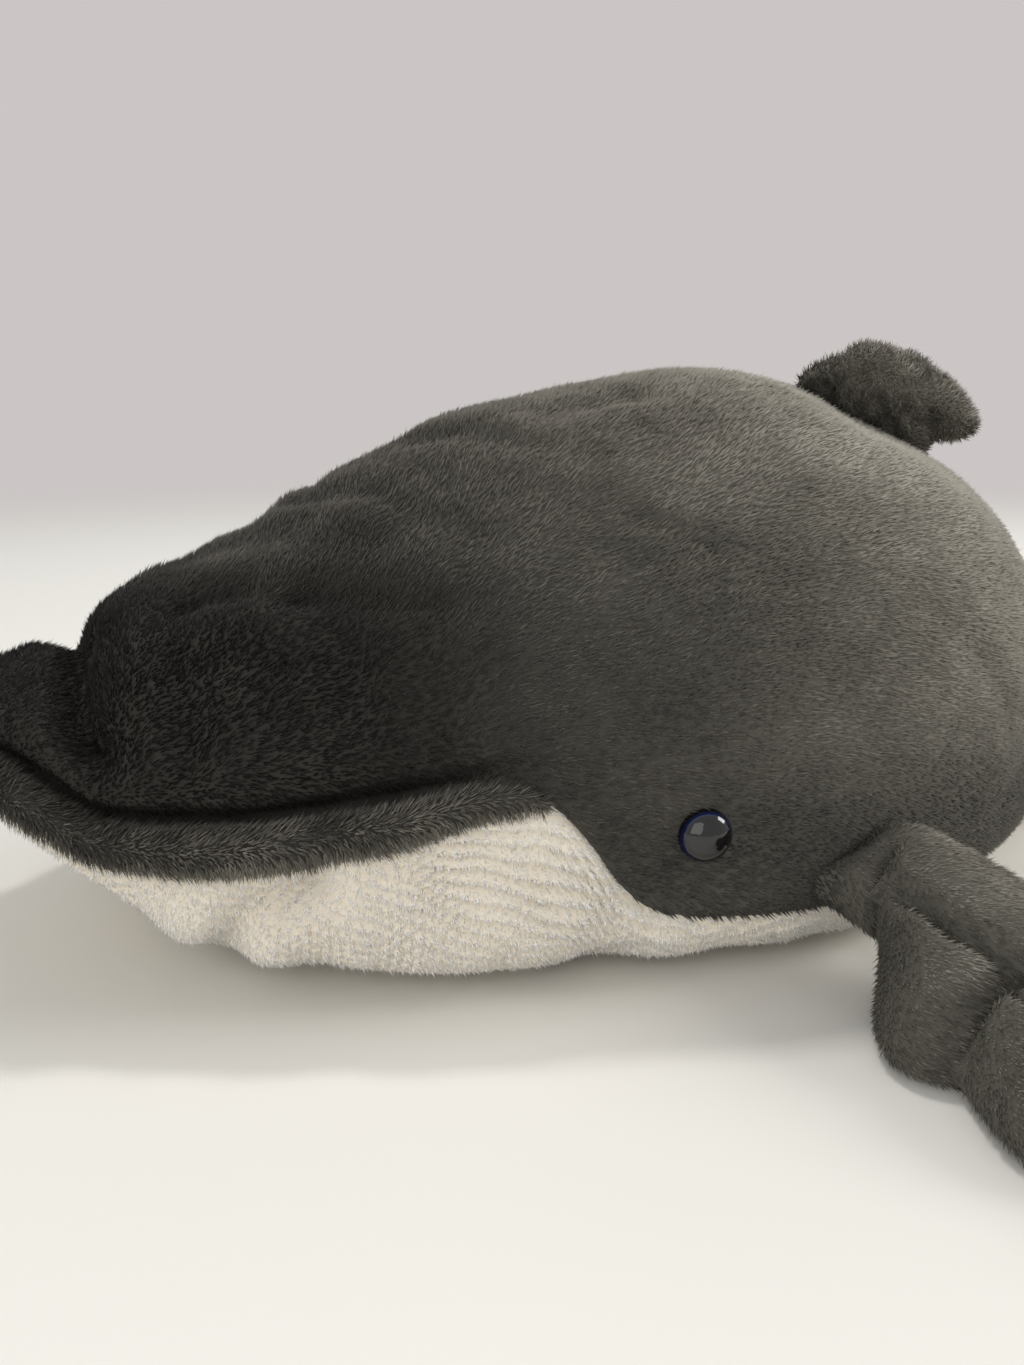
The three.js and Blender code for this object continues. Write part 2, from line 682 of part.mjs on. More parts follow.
function makeFin() {
  const stations = evenStations(finShares, FIN_STATIONS, FIN_HEIGHT, FIN_HALF_CHORD,
    FIN_HALF_THICKNESS, FIN_SWEEP);
  const slope = degrees(FIN_SLOPE);
  const chord = new THREE.Vector3(0, Math.cos(slope), -Math.sin(slope));
  const upright = new THREE.Vector3(0, Math.sin(slope), Math.cos(slope));
  const out = upright.applyAxisAngle(chord, degrees(FIN_LEAN));
  const frame = { root: skin(finBack, QUARTER), out, chord, thick: out.clone().cross(chord) };
  const obstacle =
    swept(bodyOutline, frame.root, chord, -FIN_TO_LEFT, FIN_TO_RIGHT, SWEEP_STEPS);
  makeLimb('dorsal_fin', stations, frame, obstacle);
}

// Tail and fluke.

const flukeSection = section(flukeRoot, 0);
const flukeAxis = new THREE.Vector3(0, flukeRoot, flukeSection.widest);
const flukeRadius = SWIVEL_SHARE * Math.max(flukeSection.rise, flukeSection.drop);

/** A bar across the whale about the fluke's axis. */
function flukeBar(radius) {
  return toManifold(new THREE.CylinderGeometry(radius, radius, 4 * BODY_HALF_WIDTH, SWIVEL_STEPS)
    .rotateZ(QUARTER).translate(...flukeAxis));
}

/** Everything on the nose's side of a distance behind the nose. */
function aheadOf(back) {
  const size = 3 * BODY_LENGTH;
  return toManifold(new THREE.BoxGeometry(size, size, size).translate(0, back - size / 2, 0));
}

const TAIL_ROWS = 5;

function makeTail() {
  const first = tailRoot - tailRadius;
  const rounded = aheadOf(tailRoot).subtract(tailPost(tailRadius));
  const hollow = flukeBar(flukeRadius + CLEARANCE);
  const backs = spread(first, flukeRoot, TAIL_ROWS);
  const solidAt = (inset) => toManifold(bodySolid(inset, backs));
  const lining = bodySolid(CLOTH, [first - OVERRUN, ...backs, flukeRoot + OVERRUN]);
  const wall = solidAt(0).subtract(toManifold(lining));
  const core = solidAt(CLOTH + CLEARANCE);
  addPlush('tail_cover', toGeometry(wall.subtract(rounded).subtract(hollow)));
  addFibre('tail_filling', toGeometry(core.subtract(rounded).subtract(hollow)));
}

// A lobe's half chord, half thickness and sweep, as the flipper's.
const flukeShares = [
  [0, 0.8, 1, 0], [0.15, 0.84, 1, 0.02], [0.35, 0.95, 0.9, 0.14], [0.6, 0.86, 0.75, 0.42],
  [0.82, 0.58, 0.55, 0.74], [0.95, 0.28, 0.36, 0.94], [1, 0.1, 0.16, 1],
];
const FLUKE_STATIONS = 12;

function makeFluke() {
  const stations = evenStations(flukeShares, FLUKE_STATIONS, FLUKE_SPREAD, FLUKE_HALF_CHORD,
    FLUKE_HALF_THICKNESS, FLUKE_SWEEP, CLEARANCE / 2);
  const across = new THREE.Vector3(1, 0, 0);
  const tailEnd = toManifold(bodySolid(-CLEARANCE, spread(tailRoot, flukeRoot, TAIL_ROWS)))
    .subtract(flukeBar(flukeRadius));
  const sweptTail = swept(tailEnd, flukeAxis, across, -FLUKE_TILT, FLUKE_TILT, SWEEP_STEPS);
  const rootBehindAxis = FLUKE_HALF_CHORD * flukeShares[0][1] - flukeRadius;
  for (const [name, side] of [['left', 1], ['right', -1]]) {
    const frame = {
      root: flukeAxis.clone().add(new THREE.Vector3(0, rootBehindAxis, 0)),
      out: new THREE.Vector3(side, 0, 0),
      chord: new THREE.Vector3(0, 1, 0),
      thick: new THREE.Vector3(0, 0, 1),
    };
    makeLimb(`fluke_${name}`, stations, frame, sweptTail);
  }
}

makeBody();
makeFillings();
makeLip();
makeFlippers();
makeFin();
makeTail();
makeFluke();

const bounds = new THREE.Box3().setFromObject(group);
const middle = bounds.getCenter(new THREE.Vector3()).y;
group.children.forEach((mesh) => mesh.geometry.translate(0, -middle, 0));

export default group;
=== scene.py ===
# %% [markdown]
# # A plush whale
# The toy is sewn from cloth with a short, dense pile and stuffed with fibre. What the eye sees is
# nearly all pile, so each piece is made twice here: a smooth skin with the folds and dimples of the
# stuffed cloth, and thousands of small tufts that grow out of that skin and lie combed towards the
# tail. Tufts made of mesh cost more triangles than a hair system, but they keep their shape in any
# program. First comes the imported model, which gives every piece its place and its motion.

# %% The frame
import math

import bpy
import numpy as np
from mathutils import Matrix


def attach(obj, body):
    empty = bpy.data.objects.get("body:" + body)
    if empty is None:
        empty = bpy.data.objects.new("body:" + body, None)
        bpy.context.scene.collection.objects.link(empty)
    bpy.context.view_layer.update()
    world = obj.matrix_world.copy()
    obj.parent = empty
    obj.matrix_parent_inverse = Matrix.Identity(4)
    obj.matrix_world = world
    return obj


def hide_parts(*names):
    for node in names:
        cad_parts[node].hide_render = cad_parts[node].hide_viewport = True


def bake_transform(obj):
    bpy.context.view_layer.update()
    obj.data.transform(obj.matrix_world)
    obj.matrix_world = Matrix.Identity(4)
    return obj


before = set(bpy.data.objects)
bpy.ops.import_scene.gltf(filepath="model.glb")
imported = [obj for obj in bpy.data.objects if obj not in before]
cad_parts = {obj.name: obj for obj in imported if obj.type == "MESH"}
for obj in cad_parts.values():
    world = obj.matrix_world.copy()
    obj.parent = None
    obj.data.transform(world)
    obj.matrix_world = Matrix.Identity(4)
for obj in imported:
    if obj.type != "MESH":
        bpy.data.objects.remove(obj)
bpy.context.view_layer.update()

MM = 0.001

# %% [markdown]
# ## Camera
# The camera stands low in front of the whale's left side, close enough that the head looks large.
# A longer lens from further away would frame the same, but it would flatten the face.

# %% Camera
CAMERA_PLACE = (0.3083, -0.2051, 0.150)
CAMERA_TURN = (math.radians(75), 0, math.radians(68))
PICTURE_HEIGHT, LENS = 36, 27.06    # millimetres
bpy.ops.object.camera_add(location=CAMERA_PLACE, rotation=CAMERA_TURN)
camera = bpy.context.object
camera.data.sensor_fit = "VERTICAL"
camera.data.sensor_height = PICTURE_HEIGHT
camera.data.lens = LENS
camera.data.clip_start = 0.01
bpy.context.scene.camera = camera
print("camera looks down by", 90 - round(math.degrees(CAMERA_TURN[0])), "degrees")

# %% [markdown]
# ## Sums in a shader
# A finish is a net of nodes. Linked one by one they take many lines, so a wire here is a node's
# output that + and * work on, and a sum of patterns reads as a sum. Any other node comes from one
# method, which takes its kind, its settings and what goes into its sockets.

# %% Shader sums
class Wire:
    """A node's output that Python's operators do sums with."""

    def __init__(self, tree, socket=None):
        self.tree, self.socket = tree, socket

    def node(self, kind, settings=None, inputs=None, output=0):
        """Adds a node: first its settings, then the values or wires of its sockets."""
        node = self.tree.nodes.new(kind)
        for key, value in (settings or {}).items():
            setattr(node, key, value)
        for key, value in (inputs or {}).items():
            if isinstance(value, Wire):
                self.tree.links.new(value.socket, node.inputs[key])
            else:
                node.inputs[key].default_value = value
        return Wire(self.tree, node.outputs[output])

    def math(self, operation, *values):
        return self.node("ShaderNodeMath", {"operation": operation}, dict(enumerate(values)))

    def __add__(self, other):
        return self.math("ADD", self, other)

    def __mul__(self, other):
        return self.math("MULTIPLY", self, other)

    __radd__, __rmul__ = __add__, __mul__


def linear(*rgb):
    """A colour written in 0 to 255 steps, as the shader wants it."""
    return (*[c / 255 / 12.92 if c < 11 else ((c / 255 + 0.055) / 1.055) ** 2.4 for c in rgb], 1)


def finish(name, roughness=0.9, sheen=0.0, sheen_colour=(1, 1, 1, 1), coat=0.0, gloss=0.5):
    """A material with its fixed values, its shader and a wire to build its nodes from."""
    material = bpy.data.materials.new(name)
    material.use_nodes = True
    shader = material.node_tree.nodes["Principled BSDF"]
    shader.inputs["Roughness"].default_value = roughness
    shader.inputs["Specular IOR Level"].default_value = gloss
    shader.inputs["Sheen Weight"].default_value = sheen
    shader.inputs["Sheen Roughness"].default_value = 0.45
    shader.inputs["Sheen Tint"].default_value = sheen_colour
    shader.inputs["Coat Weight"].default_value = coat
    shader.inputs["Coat Roughness"].default_value = 0.02
    return material, shader, Wire(material.node_tree)


def link(shader, name, wire):
    """Leads a wire into a socket of a shader."""
    wire.tree.links.new(wire.socket, shader.inputs[name])


print("shader sums ready")

# %% [markdown]
# ## Table and light
# The toy lies on a pale table. Far from it the table's paint fades into the colour of the wall, as
# a bent sheet of paper does in a studio, so that no horizon cuts the picture. A lamp over the whale
# throws its shadow on the table, a wide one beyond the tail lights the rear flank, one in front
# opens the shadows, and the pale room fills in the rest.

# %% Table
TABLE_COLOUR = linear(238, 236, 230)
WALL_COLOUR = linear(203, 198, 197)
TABLE_RADIUS = 6
FADE_START, FADE_END = 0.8, 2.0    # metres from the whale

bpy.ops.mesh.primitive_circle_add(vertices=96, radius=TABLE_RADIUS, fill_type="NGON")
table = bpy.context.object
table.name = "table_top"
table_finish, table_shader, wire = finish("table_paint", roughness=0.55)
table_shader.inputs["Base Color"].default_value = TABLE_COLOUR
from_middle = wire.node("ShaderNodeVectorMath", {"operation": "LENGTH"},
                        {0: wire.node("ShaderNodeTexCoord", output=3)}, output="Value")
fade = wire.node("ShaderNodeMapRange", {"interpolation_type": "SMOOTHSTEP"},
                 {"Value": from_middle, "From Min": FADE_START, "From Max": FADE_END})
glow = wire.node("ShaderNodeEmission", inputs={"Color": WALL_COLOUR})
paint = Wire(wire.tree, table_shader.outputs["BSDF"])
both = wire.node("ShaderNodeMixShader", inputs={0: fade, 1: paint, 2: glow})
wire.tree.links.new(both.socket, wire.tree.nodes["Material Output"].inputs["Surface"])
table.data.materials.append(table_finish)
print("table is", 2 * TABLE_RADIUS, "m across")

# %% Room
ROOM_LIGHT = (0.59, 0.59, 0.59, 1)

world = bpy.data.worlds.new("room")
bpy.context.scene.world = world
world.use_nodes = True
room = Wire(world.node_tree)
seen = room.node("ShaderNodeLightPath", output="Is Camera Ray")
tint = room.node("ShaderNodeMix", {"data_type": "RGBA"},
                 {0: seen, 6: ROOM_LIGHT, 7: WALL_COLOUR}, output=2)
link(world.node_tree.nodes["Background"], "Color", tint)
print("room gives light of", ROOM_LIGHT[0])

# %% Lamps
AIM = (0, 0, 0.05)


def lamp(name, place, size, watts, colour):
    """A square soft lamp that faces the whale."""
    bpy.ops.object.light_add(type="AREA", location=place)
    light = bpy.context.object
    light.name = name
    light.data.size, light.data.energy, light.data.color = size, watts, colour
    away = np.array(place) - AIM
    turn = math.atan2(away[0], -away[1])
    tilt = math.acos(away[2] / np.linalg.norm(away))
    light.rotation_euler = (tilt, 0, turn)
    print(name, "gives", watts, "watts")


lamp("top_lamp", (-0.45, -0.05, 1.6), size=0.18, watts=7, colour=(1, 0.98, 0.95))
lamp("tail_lamp", (0.55, 1.35, 0.95), size=0.7, watts=12, colour=(1, 0.98, 0.95))
lamp("front_lamp", (1.0, -1.1, 0.75), size=1.2, watts=5.5, colour=(1, 0.98, 0.96))
bpy.context.scene.view_settings.view_transform = "Standard"

# %% [markdown]
# ## The form of the body
# The body is a row of cross-sections from the nose to the root of the fluke, the same that the
# solids are drawn through. A table holds each section's width, top, underside and widest level as
# shares of the whole, and a curve that never overshoots runs between the rows. A second table holds
# the level of the seam between grey back and cream belly. With a formula every place on the skin
# has an address, how far back and at what angle round, and folds can be put where they belong.

# %% Body sections
LENGTH, HALF_WIDTH, HEIGHT = 0.450, 0.110, 0.161
MIDDLE = 0.2522288        # from the nose to the origin
FLOOR_SINK = 0.0005
TOP_POWER, UNDER_POWER = 2.05, 4.0        # round above, boxy below
# Rows: place along the length, then half width, top, underside and widest level.
SECTION_SHARES = np.array([
    (0, .03, .42, .37, .40), (.013, .22, .475, .315, .385), (.044, .37, .505, .25, .36),
    (.084, .47, .525, .16, .335), (.120, .56, .61, .09, .31), (.176, .65, .69, .045, .275),
    (.224, .72, .75, .015, .26), (.289, .825, .845, 0, .26), (.358, .9, .93, 0, .27),
    (.444, .98, .98, 0, .28), (.533, 1, 1, 0, .30), (.611, .94, .985, 0, .31),
    (.689, .79, .885, 0, .31), (.767, .60, .71, .006, .285), (.844, .44, .55, .03, .26),
    (.922, .32, .40, .06, .225), (1, .23, .28, .11, .195)])
# Rows: place along the length, then the level of the seam.
SEAM_SHARES = np.array([
    (0, .40), (.04, .385), (.064, .345), (.095, .29), (.14, .285), (.178, .29), (.24, .32),
    (.31, .365), (.327, .33), (.344, .27), (.358, .21), (.378, .16), (.404, .142), (.464, .135),
    (.556, .115), (.667, .09), (.767, .10), (.844, .15), (1, .16)])


def smooth_column(rows, column, place):
    """A table's column at some places, on a curve that never overshoots its rows."""
    x, y = rows[:, 0], rows[:, column]
    slope = np.diff(y) / np.diff(x)
    before, after = slope[:-1], slope[1:]
    same = before * after > 0
    middle = np.where(same, 2 * before * after / np.where(same, before + after, 1), 0)
    tangent = np.concatenate([slope[:1], middle, slope[-1:]])
    place = np.asarray(place, float)
    i = np.clip(np.searchsorted(x, place, "right") - 1, 0, len(x) - 2)
    width = x[i + 1] - x[i]
    t = np.clip((place - x[i]) / width, 0, 1)
    return ((1 + 2 * t) * (1 - t) ** 2 * y[i] + t * (1 - t) ** 2 * width * tangent[i]
            + t * t * (3 - 2 * t) * y[i + 1] + t * t * (t - 1) * width * tangent[i + 1])


def section(back):
    """Half width, rise above and drop below the widest level, and that level."""
    share = np.asarray(back) / LENGTH
    half, top, under, widest = [smooth_column(SECTION_SHARES, k, share) for k in (1, 2, 3, 4)]
    return (half * HALF_WIDTH, (top - widest) * HEIGHT, (widest - under) * HEIGHT + FLOOR_SINK,
            widest * HEIGHT)


print("widest section:", 2 * HALF_WIDTH, "m across and", HEIGHT, "m high")

# %% Addresses on the skin
def skin(back, angle):
    """Places on the bare form. Angle 0 is the left side and a quarter turn the ridge."""
    half, rise, drop, widest = section(back)
    across, up = np.cos(angle), np.sin(angle)
    power = np.where(up >= 0, TOP_POWER, UNDER_POWER)
    reach = (np.abs(across) ** power + np.abs(up) ** power) ** (-1 / power)
    return np.stack([half * reach * across, back - MIDDLE + 0 * across,
                     widest + np.where(up >= 0, rise, drop) * reach * up], -1)


def seam_angle(back):
    """The angle of the seam on the left side."""
    _, rise, drop, widest = section(back)
    level = HEIGHT * smooth_column(SEAM_SHARES, 1, back / LENGTH)
    over = level >= widest
    power = np.where(over, TOP_POWER, UNDER_POWER)
    share = np.minimum(np.abs(level - widest) / np.where(over, rise, drop), 0.9999)
    angle = np.arctan2(share, (1 - share ** power) ** (1 / power))
    return np.where(over, angle, -angle)


print("seam at the eye:", round(float(seam_angle(np.array(0.182))), 2))

# %% [markdown]
# ## Folds, dimples and ribs
# A stuffed cloth is never a smooth egg. The low bill meets the domed forehead in a crease, the
# forehead is pinched where the pattern is gathered, two dimples sit beside the ridge, the throat
# folds behind the chin, and all of it heaves a little. These are heights to add along the skin's
# own direction. Each is a soft hill or valley about a spot or a line, given in millimetres as side,
# distance behind the nose, and level. Sculpting would do this too, but not the same way twice.

# %% Hills and creases
def spots(*rows):
    """Places written as side, distance behind the nose and level, in the model's own frame."""
    return np.array(rows, float) * MM - (0, MIDDLE, 0)


def waves(points, size, seed, count=14):
    """Smooth random hills about a size apart, with a height of about one."""
    rng = np.random.default_rng(seed)
    heading = rng.normal(size=(count, 3))
    heading *= 2 * math.pi / size / np.linalg.norm(heading, axis=1)[:, None]
    heading *= rng.uniform(0.6, 1.5, (count, 1))
    return np.sin(points @ heading.T + rng.uniform(0, 6.3, count)).sum(1) * (2 / count) ** 0.5


def beside(points, line):
    """The distance of points from a line through some spots, and how far along it they are."""
    best = np.full(len(points), 9.0)
    along = np.zeros(len(points))
    for i, (a, b) in enumerate(zip(line[:-1], line[1:])):
        t = np.clip((points - a) @ (b - a) / ((b - a) @ (b - a)), 0, 1)
        away = np.linalg.norm(points - a - t[:, None] * (b - a), axis=1)
        along = np.where(away < best, (i + t) / (len(line) - 1), along)
        best = np.minimum(away, best)
    return best, along


def hill(away, width):
    """One at no distance, and less over a width in millimetres."""
    return np.exp(-(away / (width * MM)) ** 2 / 2)


print("a hill's height at its width:", round(float(hill(MM, 1)), 2))

# %% Where they lie
BILL_CREASE = spots((0, 41, 86), (8, 40, 85), (21, 38, 82), (30, 38, 79), (38, 38, 75),
                    (45, 39, 70), (48, 41, 68.5), (51, 43, 67))
THROAT_FOLD = spots((52, 66, 8), (64, 69, 20), (68, 72, 28), (71, 77, 33), (75, 88, 38))
FLANK_FOLD = spots((86, 158, 8), (93, 170, 14), (97, 185, 17), (100, 203, 20))
BROW_CREASE = spots((73, 178, 123), (78, 185, 120), (84, 192, 116))
LONG_FOLDS = [spots((2, 104, 122), (14, 112, 125), (28, 119, 126), (46, 127, 121), (58, 138, 116)),
              spots((10, 136, 139), (22, 148, 142), (40, 158, 139), (52, 172, 134)),
              spots((45, 92, 103), (52, 104, 104), (62, 118, 102), (70, 134, 100)),
              spots((95, 250, 100), (99, 268, 88), (99, 282, 72), (98, 290, 58))]
# Each pinch: its place, how deep and how wide, in millimetres.
PINCHES = [((45, 92, 103), 4.2, 5), ((30, 72, 102), 3.6, 5), ((28, 65, 99), 3, 4),
           ((36, 80, 104), 2.4, 4), ((31, 184, 151), 3.6, 5), ((32, 197, 153), 3.4, 5),
           ((32, 173, 148), 1.6, 5), ((36, 239, 155), 1.6, 6), ((45, 40, 70), 3.0, 3.2)]
EYE = spots((104.5, 182, 46))[0]
BESIDE_FIN = spots((33, 286, 151))[0]      # where the back falls away from the fin's seam
print(len(PINCHES), "pinches and", len(LONG_FOLDS), "long folds")

# %% Relief
RIGHT_SHIFT = (0.002, 0.003, -0.001)       # the right side's folds aren't quite the left's


def relief(points, back, cream):
    """How far the stuffed skin stands out from the bare form: heights and widths are in mm."""
    left = np.abs(points * (1, 0, 0)) + points * (0, 1, 1)
    left[points[:, 0] < 0] += RIGHT_SHIFT
    high = np.zeros(len(points))
    if not cream:
        # the bill's crease, with the forehead's bulge behind it and the bill's own before it
        away = beside(left, BILL_CREASE)[0]
        behind = left[:, 1] - np.interp(left[:, 2], BILL_CREASE[::-1, 2], BILL_CREASE[::-1, 1])
        high -= 4.5 * hill(away, 3.6)
        high += 1.2 * hill(away - 0.013, 7) * (behind > 0)
        high += 1.5 * hill(away - 0.008, 4) * (behind < 0)
        # the uneven dome, the brow and the long folds
        lumpy = np.clip((back / MM - 40) / 20, 0, 1) * np.clip((150 - back / MM) / 40, 0, 1)
        high += 0.7 * lumpy * waves(points, 0.030, 5)
        high -= 1.5 * hill(beside(left, BROW_CREASE)[0], 2.2)
        high += 1.0 * hill(beside(left, BROW_CREASE + (0, -0.002, 0.005))[0], 3)
        for fold in LONG_FOLDS:
            high -= 1.3 * hill(beside(left, fold)[0], 3.4)
            high += 0.9 * hill(beside(left, fold)[0] - 0.008, 5)
        for place, deep, wide in PINCHES:
            high -= deep * hill(np.linalg.norm(left - spots(place)[0], axis=1), wide)
        high -= 9 * hill(np.linalg.norm(left - BESIDE_FIN, axis=1), 20)
    else:
        # the throat's fold with a bulge beside it, and the fold before the flipper
        away = beside(left, THROAT_FOLD)[0]
        high -= 5.0 * hill(away, 3.8)
        high += 2.2 * hill(away - 0.011, 5)
        high -= 2.2 * hill(beside(left, FLANK_FOLD)[0], 2.6)
    # all of it heaves, but not where the eye's washer pulls the cloth in
    calm = 1 - hill(np.linalg.norm(left - EYE, axis=1), 9)
    high += calm * (0.55 * waves(points, 0.075, 1) + 0.22 * waves(points, 0.028, 2))
    high -= 1.3 * (1 - calm)
    settled = np.clip(points[:, 2] / 0.006, 0, 1)
    return high * MM * settled * np.clip(back / 0.012, 0.15, 1)


def mouth_tuck(from_seam, back):
    """The upper jaw overhangs the lip: a deep crease just above it, and a bulge over that."""
    runs = np.clip((0.142 - back) / 0.035, 0, 1) * np.clip(back / 0.01, 0.4, 1)
    return MM * runs * (2.0 * hill(from_seam - 0.017, 5) - 6.5 * hill(from_seam - 0.0070, 2.0))


def chin_tuck(from_edge, back):
    """The stuffing of the chin is pulled up under the lip."""
    return -5.5 * MM * np.clip((0.064 - back) / 0.03, 0, 1) * np.clip(from_edge / 0.012, 0, 1)


print("deepest pinch:", max(deep for _, deep, _ in PINCHES), "mm")

# %% Ribs
RIB_PITCH = 3.8 * MM
RIB_TOP = 0.78            # where a rib is highest, as a share of its way down


def rib_place(points, from_keel):
    """Counts the cream cloth's ribs up from the keel, with the wander that brushing gives a cloth.
    """
    return from_keel / RIB_PITCH + 0.5 * waves(points, 0.06, 7) + 0.15 * waves(points, 0.018, 8)


def rib_height(points, place, from_edge, fine):
    """
    Ribs are rolls that run along the body, each hanging over the next one below. Where the grid
    is too coarse for them, fine is 0 and the pile alone draws them.
    """
    lap = 1 - (place - np.floor(place))
    roll = np.where(lap < RIB_TOP, (lap / RIB_TOP) ** 0.7, (1 - lap) / (1 - RIB_TOP))
    roll = roll * fine + 0.5 * (1 - fine)
    strong = np.clip(0.95 + 0.3 * waves(points, 0.04, 9), 0.5, 1.3)
    near = np.clip(from_edge / 0.006, 0, 1)
    off_floor = np.clip((points[:, 2] - 0.002) / 0.006, 0, 1)
    return MM * (2.7 * roll * strong * near - 1.4 * (1 - near)) * off_floor


print("ribs stand", round(RIB_PITCH / MM, 1), "mm apart")

# %% [markdown]
# ## Skins
# Each cloth panel begins as a flat grid, as it does on the cutting table. Its grid points are then
# laid on the form, from seam to seam and from the nose backwards, and raised or lowered by the
# relief. Points lie close together where ribs or folds need them, and far apart in the middle of
# the belly, which lies on the table. The thickness of the cloth is added afterwards with Solidify,
# inwards, which also closes the panel's edges.

# %% Mesh helpers
def deselect():
    """Leaves edit mode and lets go of all objects."""
    if bpy.context.object and bpy.context.object.mode != "OBJECT":
        bpy.ops.object.mode_set(mode="OBJECT")
    bpy.ops.object.select_all(action="DESELECT")


def choose(obj):
    """Selects one object alone."""
    deselect()
    obj.select_set(True)
    bpy.context.view_layer.objects.active = obj


def vectors(items, what="co"):
    """A vector of every item as rows of an array."""
    flat = np.empty(len(items) * 3, np.float32)
    items.foreach_get(what, flat)
    return flat.reshape(-1, 3).astype(float)


def unit(rows):
    """Each row at a length of one."""
    return rows / np.maximum(np.linalg.norm(rows, axis=-1, keepdims=True), 1e-12)


def set_points(obj, points):
    """Moves an object's points to new places."""
    obj.data.vertices.foreach_set("co", points.astype(np.float32).ravel())
    obj.data.update()


print("mesh helpers ready")

# %% From seam to seam
BODY_END, TAIL_END, STUMP_END = 0.366, 0.430, 0.472


def angles_by_length(backs, start, end, shares):
    """Angles that divide each section's length round, from start to end, by some shares."""
    fine = start[:, None] + (end - start)[:, None] * np.linspace(0, 1, 161)
    places = skin(backs[:, None] + 0 * fine, fine)
    steps = np.linalg.norm(np.diff(places, axis=1), axis=2)
    run = np.concatenate([np.zeros((len(backs), 1)), np.cumsum(steps, axis=1)], axis=1)
    return np.array([np.interp(shares * r[-1], r, a) for r, a in zip(run, fine)])


def facing(grid):
    """Directions that a grid of points faces: round it, crossed with along it."""
    return unit(np.cross(np.gradient(grid, axis=1), np.gradient(grid, axis=0)))


def closing(backs):
    """Draws the sections in at the nose and at the end of the stump."""
    return np.sqrt(np.clip(backs / 0.0015, 0, 1) * np.clip((STUMP_END - backs) / 0.02, 0, 1))


print("skins end", BODY_END, TAIL_END, "and", STUMP_END, "m behind the nose")

# %% Panels
CLOTH = 0.003
LOWEST = 0.0003           # nothing sinks into the table
NOSE_CROWDING = 1.25      # rows lie closer together at the nose
MARK = "from_seam"        # how far a point is from the seam, or which rib it is on


def panel(name, first, last, rows, shares, start, end, material, cream=False):
    """A cloth panel between two distances behind the nose and two seams."""
    columns = len(shares)
    deselect()
    bpy.ops.mesh.primitive_grid_add(x_subdivisions=columns - 1, y_subdivisions=rows - 1, size=2)
    obj = bpy.context.object
    obj.name = name
    flat = vectors(obj.data.vertices)
    column = np.rint((flat[:, 0] + 1) / 2 * (columns - 1)).astype(int)
    row = np.rint((flat[:, 1] + 1) / 2 * (rows - 1)).astype(int)

    crowding = NOSE_CROWDING if first == 0 else 1
    backs = first + (last - first) * np.linspace(0, 1, rows) ** crowding
    angles = angles_by_length(backs, start(backs), end(backs), shares)
    back = backs[:, None] + 0 * angles
    axis = np.stack([0 * back, back - MIDDLE, section(back)[3]], -1)
    grid = axis + (skin(back, angles) - axis) * closing(back)[..., None]
    out = facing(grid)
    out[np.abs(grid[..., 0]) < 1e-5, 0] = 0
    height = relief(grid.reshape(-1, 3), back.ravel(), cream).reshape(rows, columns)
    steps = np.linalg.norm(np.diff(grid, axis=1), axis=2)
    run = np.concatenate([np.zeros((rows, 1)), np.cumsum(steps, axis=1)], axis=1)
    if cream:
        mark = rib_place(grid.reshape(-1, 3), np.abs(run - run[:, -1:] / 2).ravel())
        from_edge = np.minimum(run, run[:, -1:] - run).ravel()
        fine = (np.clip((np.abs(shares - 0.5) - 0.28) / 0.02, 0, 1) + 0 * back).ravel()
        height += rib_height(grid.reshape(-1, 3), mark, from_edge, fine).reshape(rows, columns)
        height += chin_tuck(from_edge, back.ravel()).reshape(rows, columns)
    else:
        mark = (run[:, -1:] - run if name.endswith("left") else run).ravel()
        height += mouth_tuck(mark, back.ravel()).reshape(rows, columns)
    grid = grid + unit(out) * height[..., None]
    grid[..., 2] = np.maximum(grid[..., 2], LOWEST)
    set_points(obj, grid[row, column])
    kept = obj.data.attributes.new(MARK, "FLOAT", "POINT")
    kept.data.foreach_set("value", mark.reshape(rows, columns)[row, column].astype(np.float32))
    obj.data.materials.append(material)
    obj.data.uv_layers[0].name = "OFBake"
    choose(obj)
    bpy.ops.object.mode_set(mode="EDIT")
    bpy.ops.mesh.select_all(action="SELECT")
    bpy.ops.mesh.remove_doubles(threshold=0.00001)
    bpy.ops.object.mode_set(mode="OBJECT")
    bpy.ops.object.shade_smooth()
    return obj


def cloth_of(obj):
    """Points, normals, triangles and marks of a piece, to grow a pile on."""
    mesh = obj.data
    marks = np.zeros(len(mesh.vertices), np.float32)
    if MARK in mesh.attributes:
        mesh.attributes[MARK].data.foreach_get("value", marks)
    mesh.calc_loop_triangles()
    triangles = np.empty(len(mesh.loop_triangles) * 3, np.int32)
    mesh.loop_triangles.foreach_get("vertices", triangles)
    normals = vectors(mesh.vertex_normals, "vector")
    return vectors(mesh.vertices), normals, triangles.reshape(-1, 3), marks


def thicken(obj):
    """Gives a panel the thickness of its cloth, inwards, and closes its edges."""
    choose(obj)
    bpy.ops.object.modifier_add(type="SOLIDIFY")
    modifier = obj.modifiers[-1]
    modifier.thickness, modifier.offset, modifier.use_rim = CLOTH, -1, True
    bpy.ops.object.modifier_apply(modifier=modifier.name)


print("cloth is", round(CLOTH / MM, 1), "mm thick")

# %% [markdown]
# ## Cloth finishes
# Between the tufts the woven backing shows as a ground, cream under the cream pile. Its colour
# wanders a little, as dyed knit does, and a fine bump breaks its light. The grey backing also
# carries the pile's painted light and shade: dark with painted shade at the face, and paler with
# painted light towards the rear, or it would show as dark specks between the pale tufts there.

# %% Backing cloth
# between these the grey backing goes from painted shade at the face to painted light at the rear
FACE_END, REAR_START = -0.14, 0.04        # places along the body


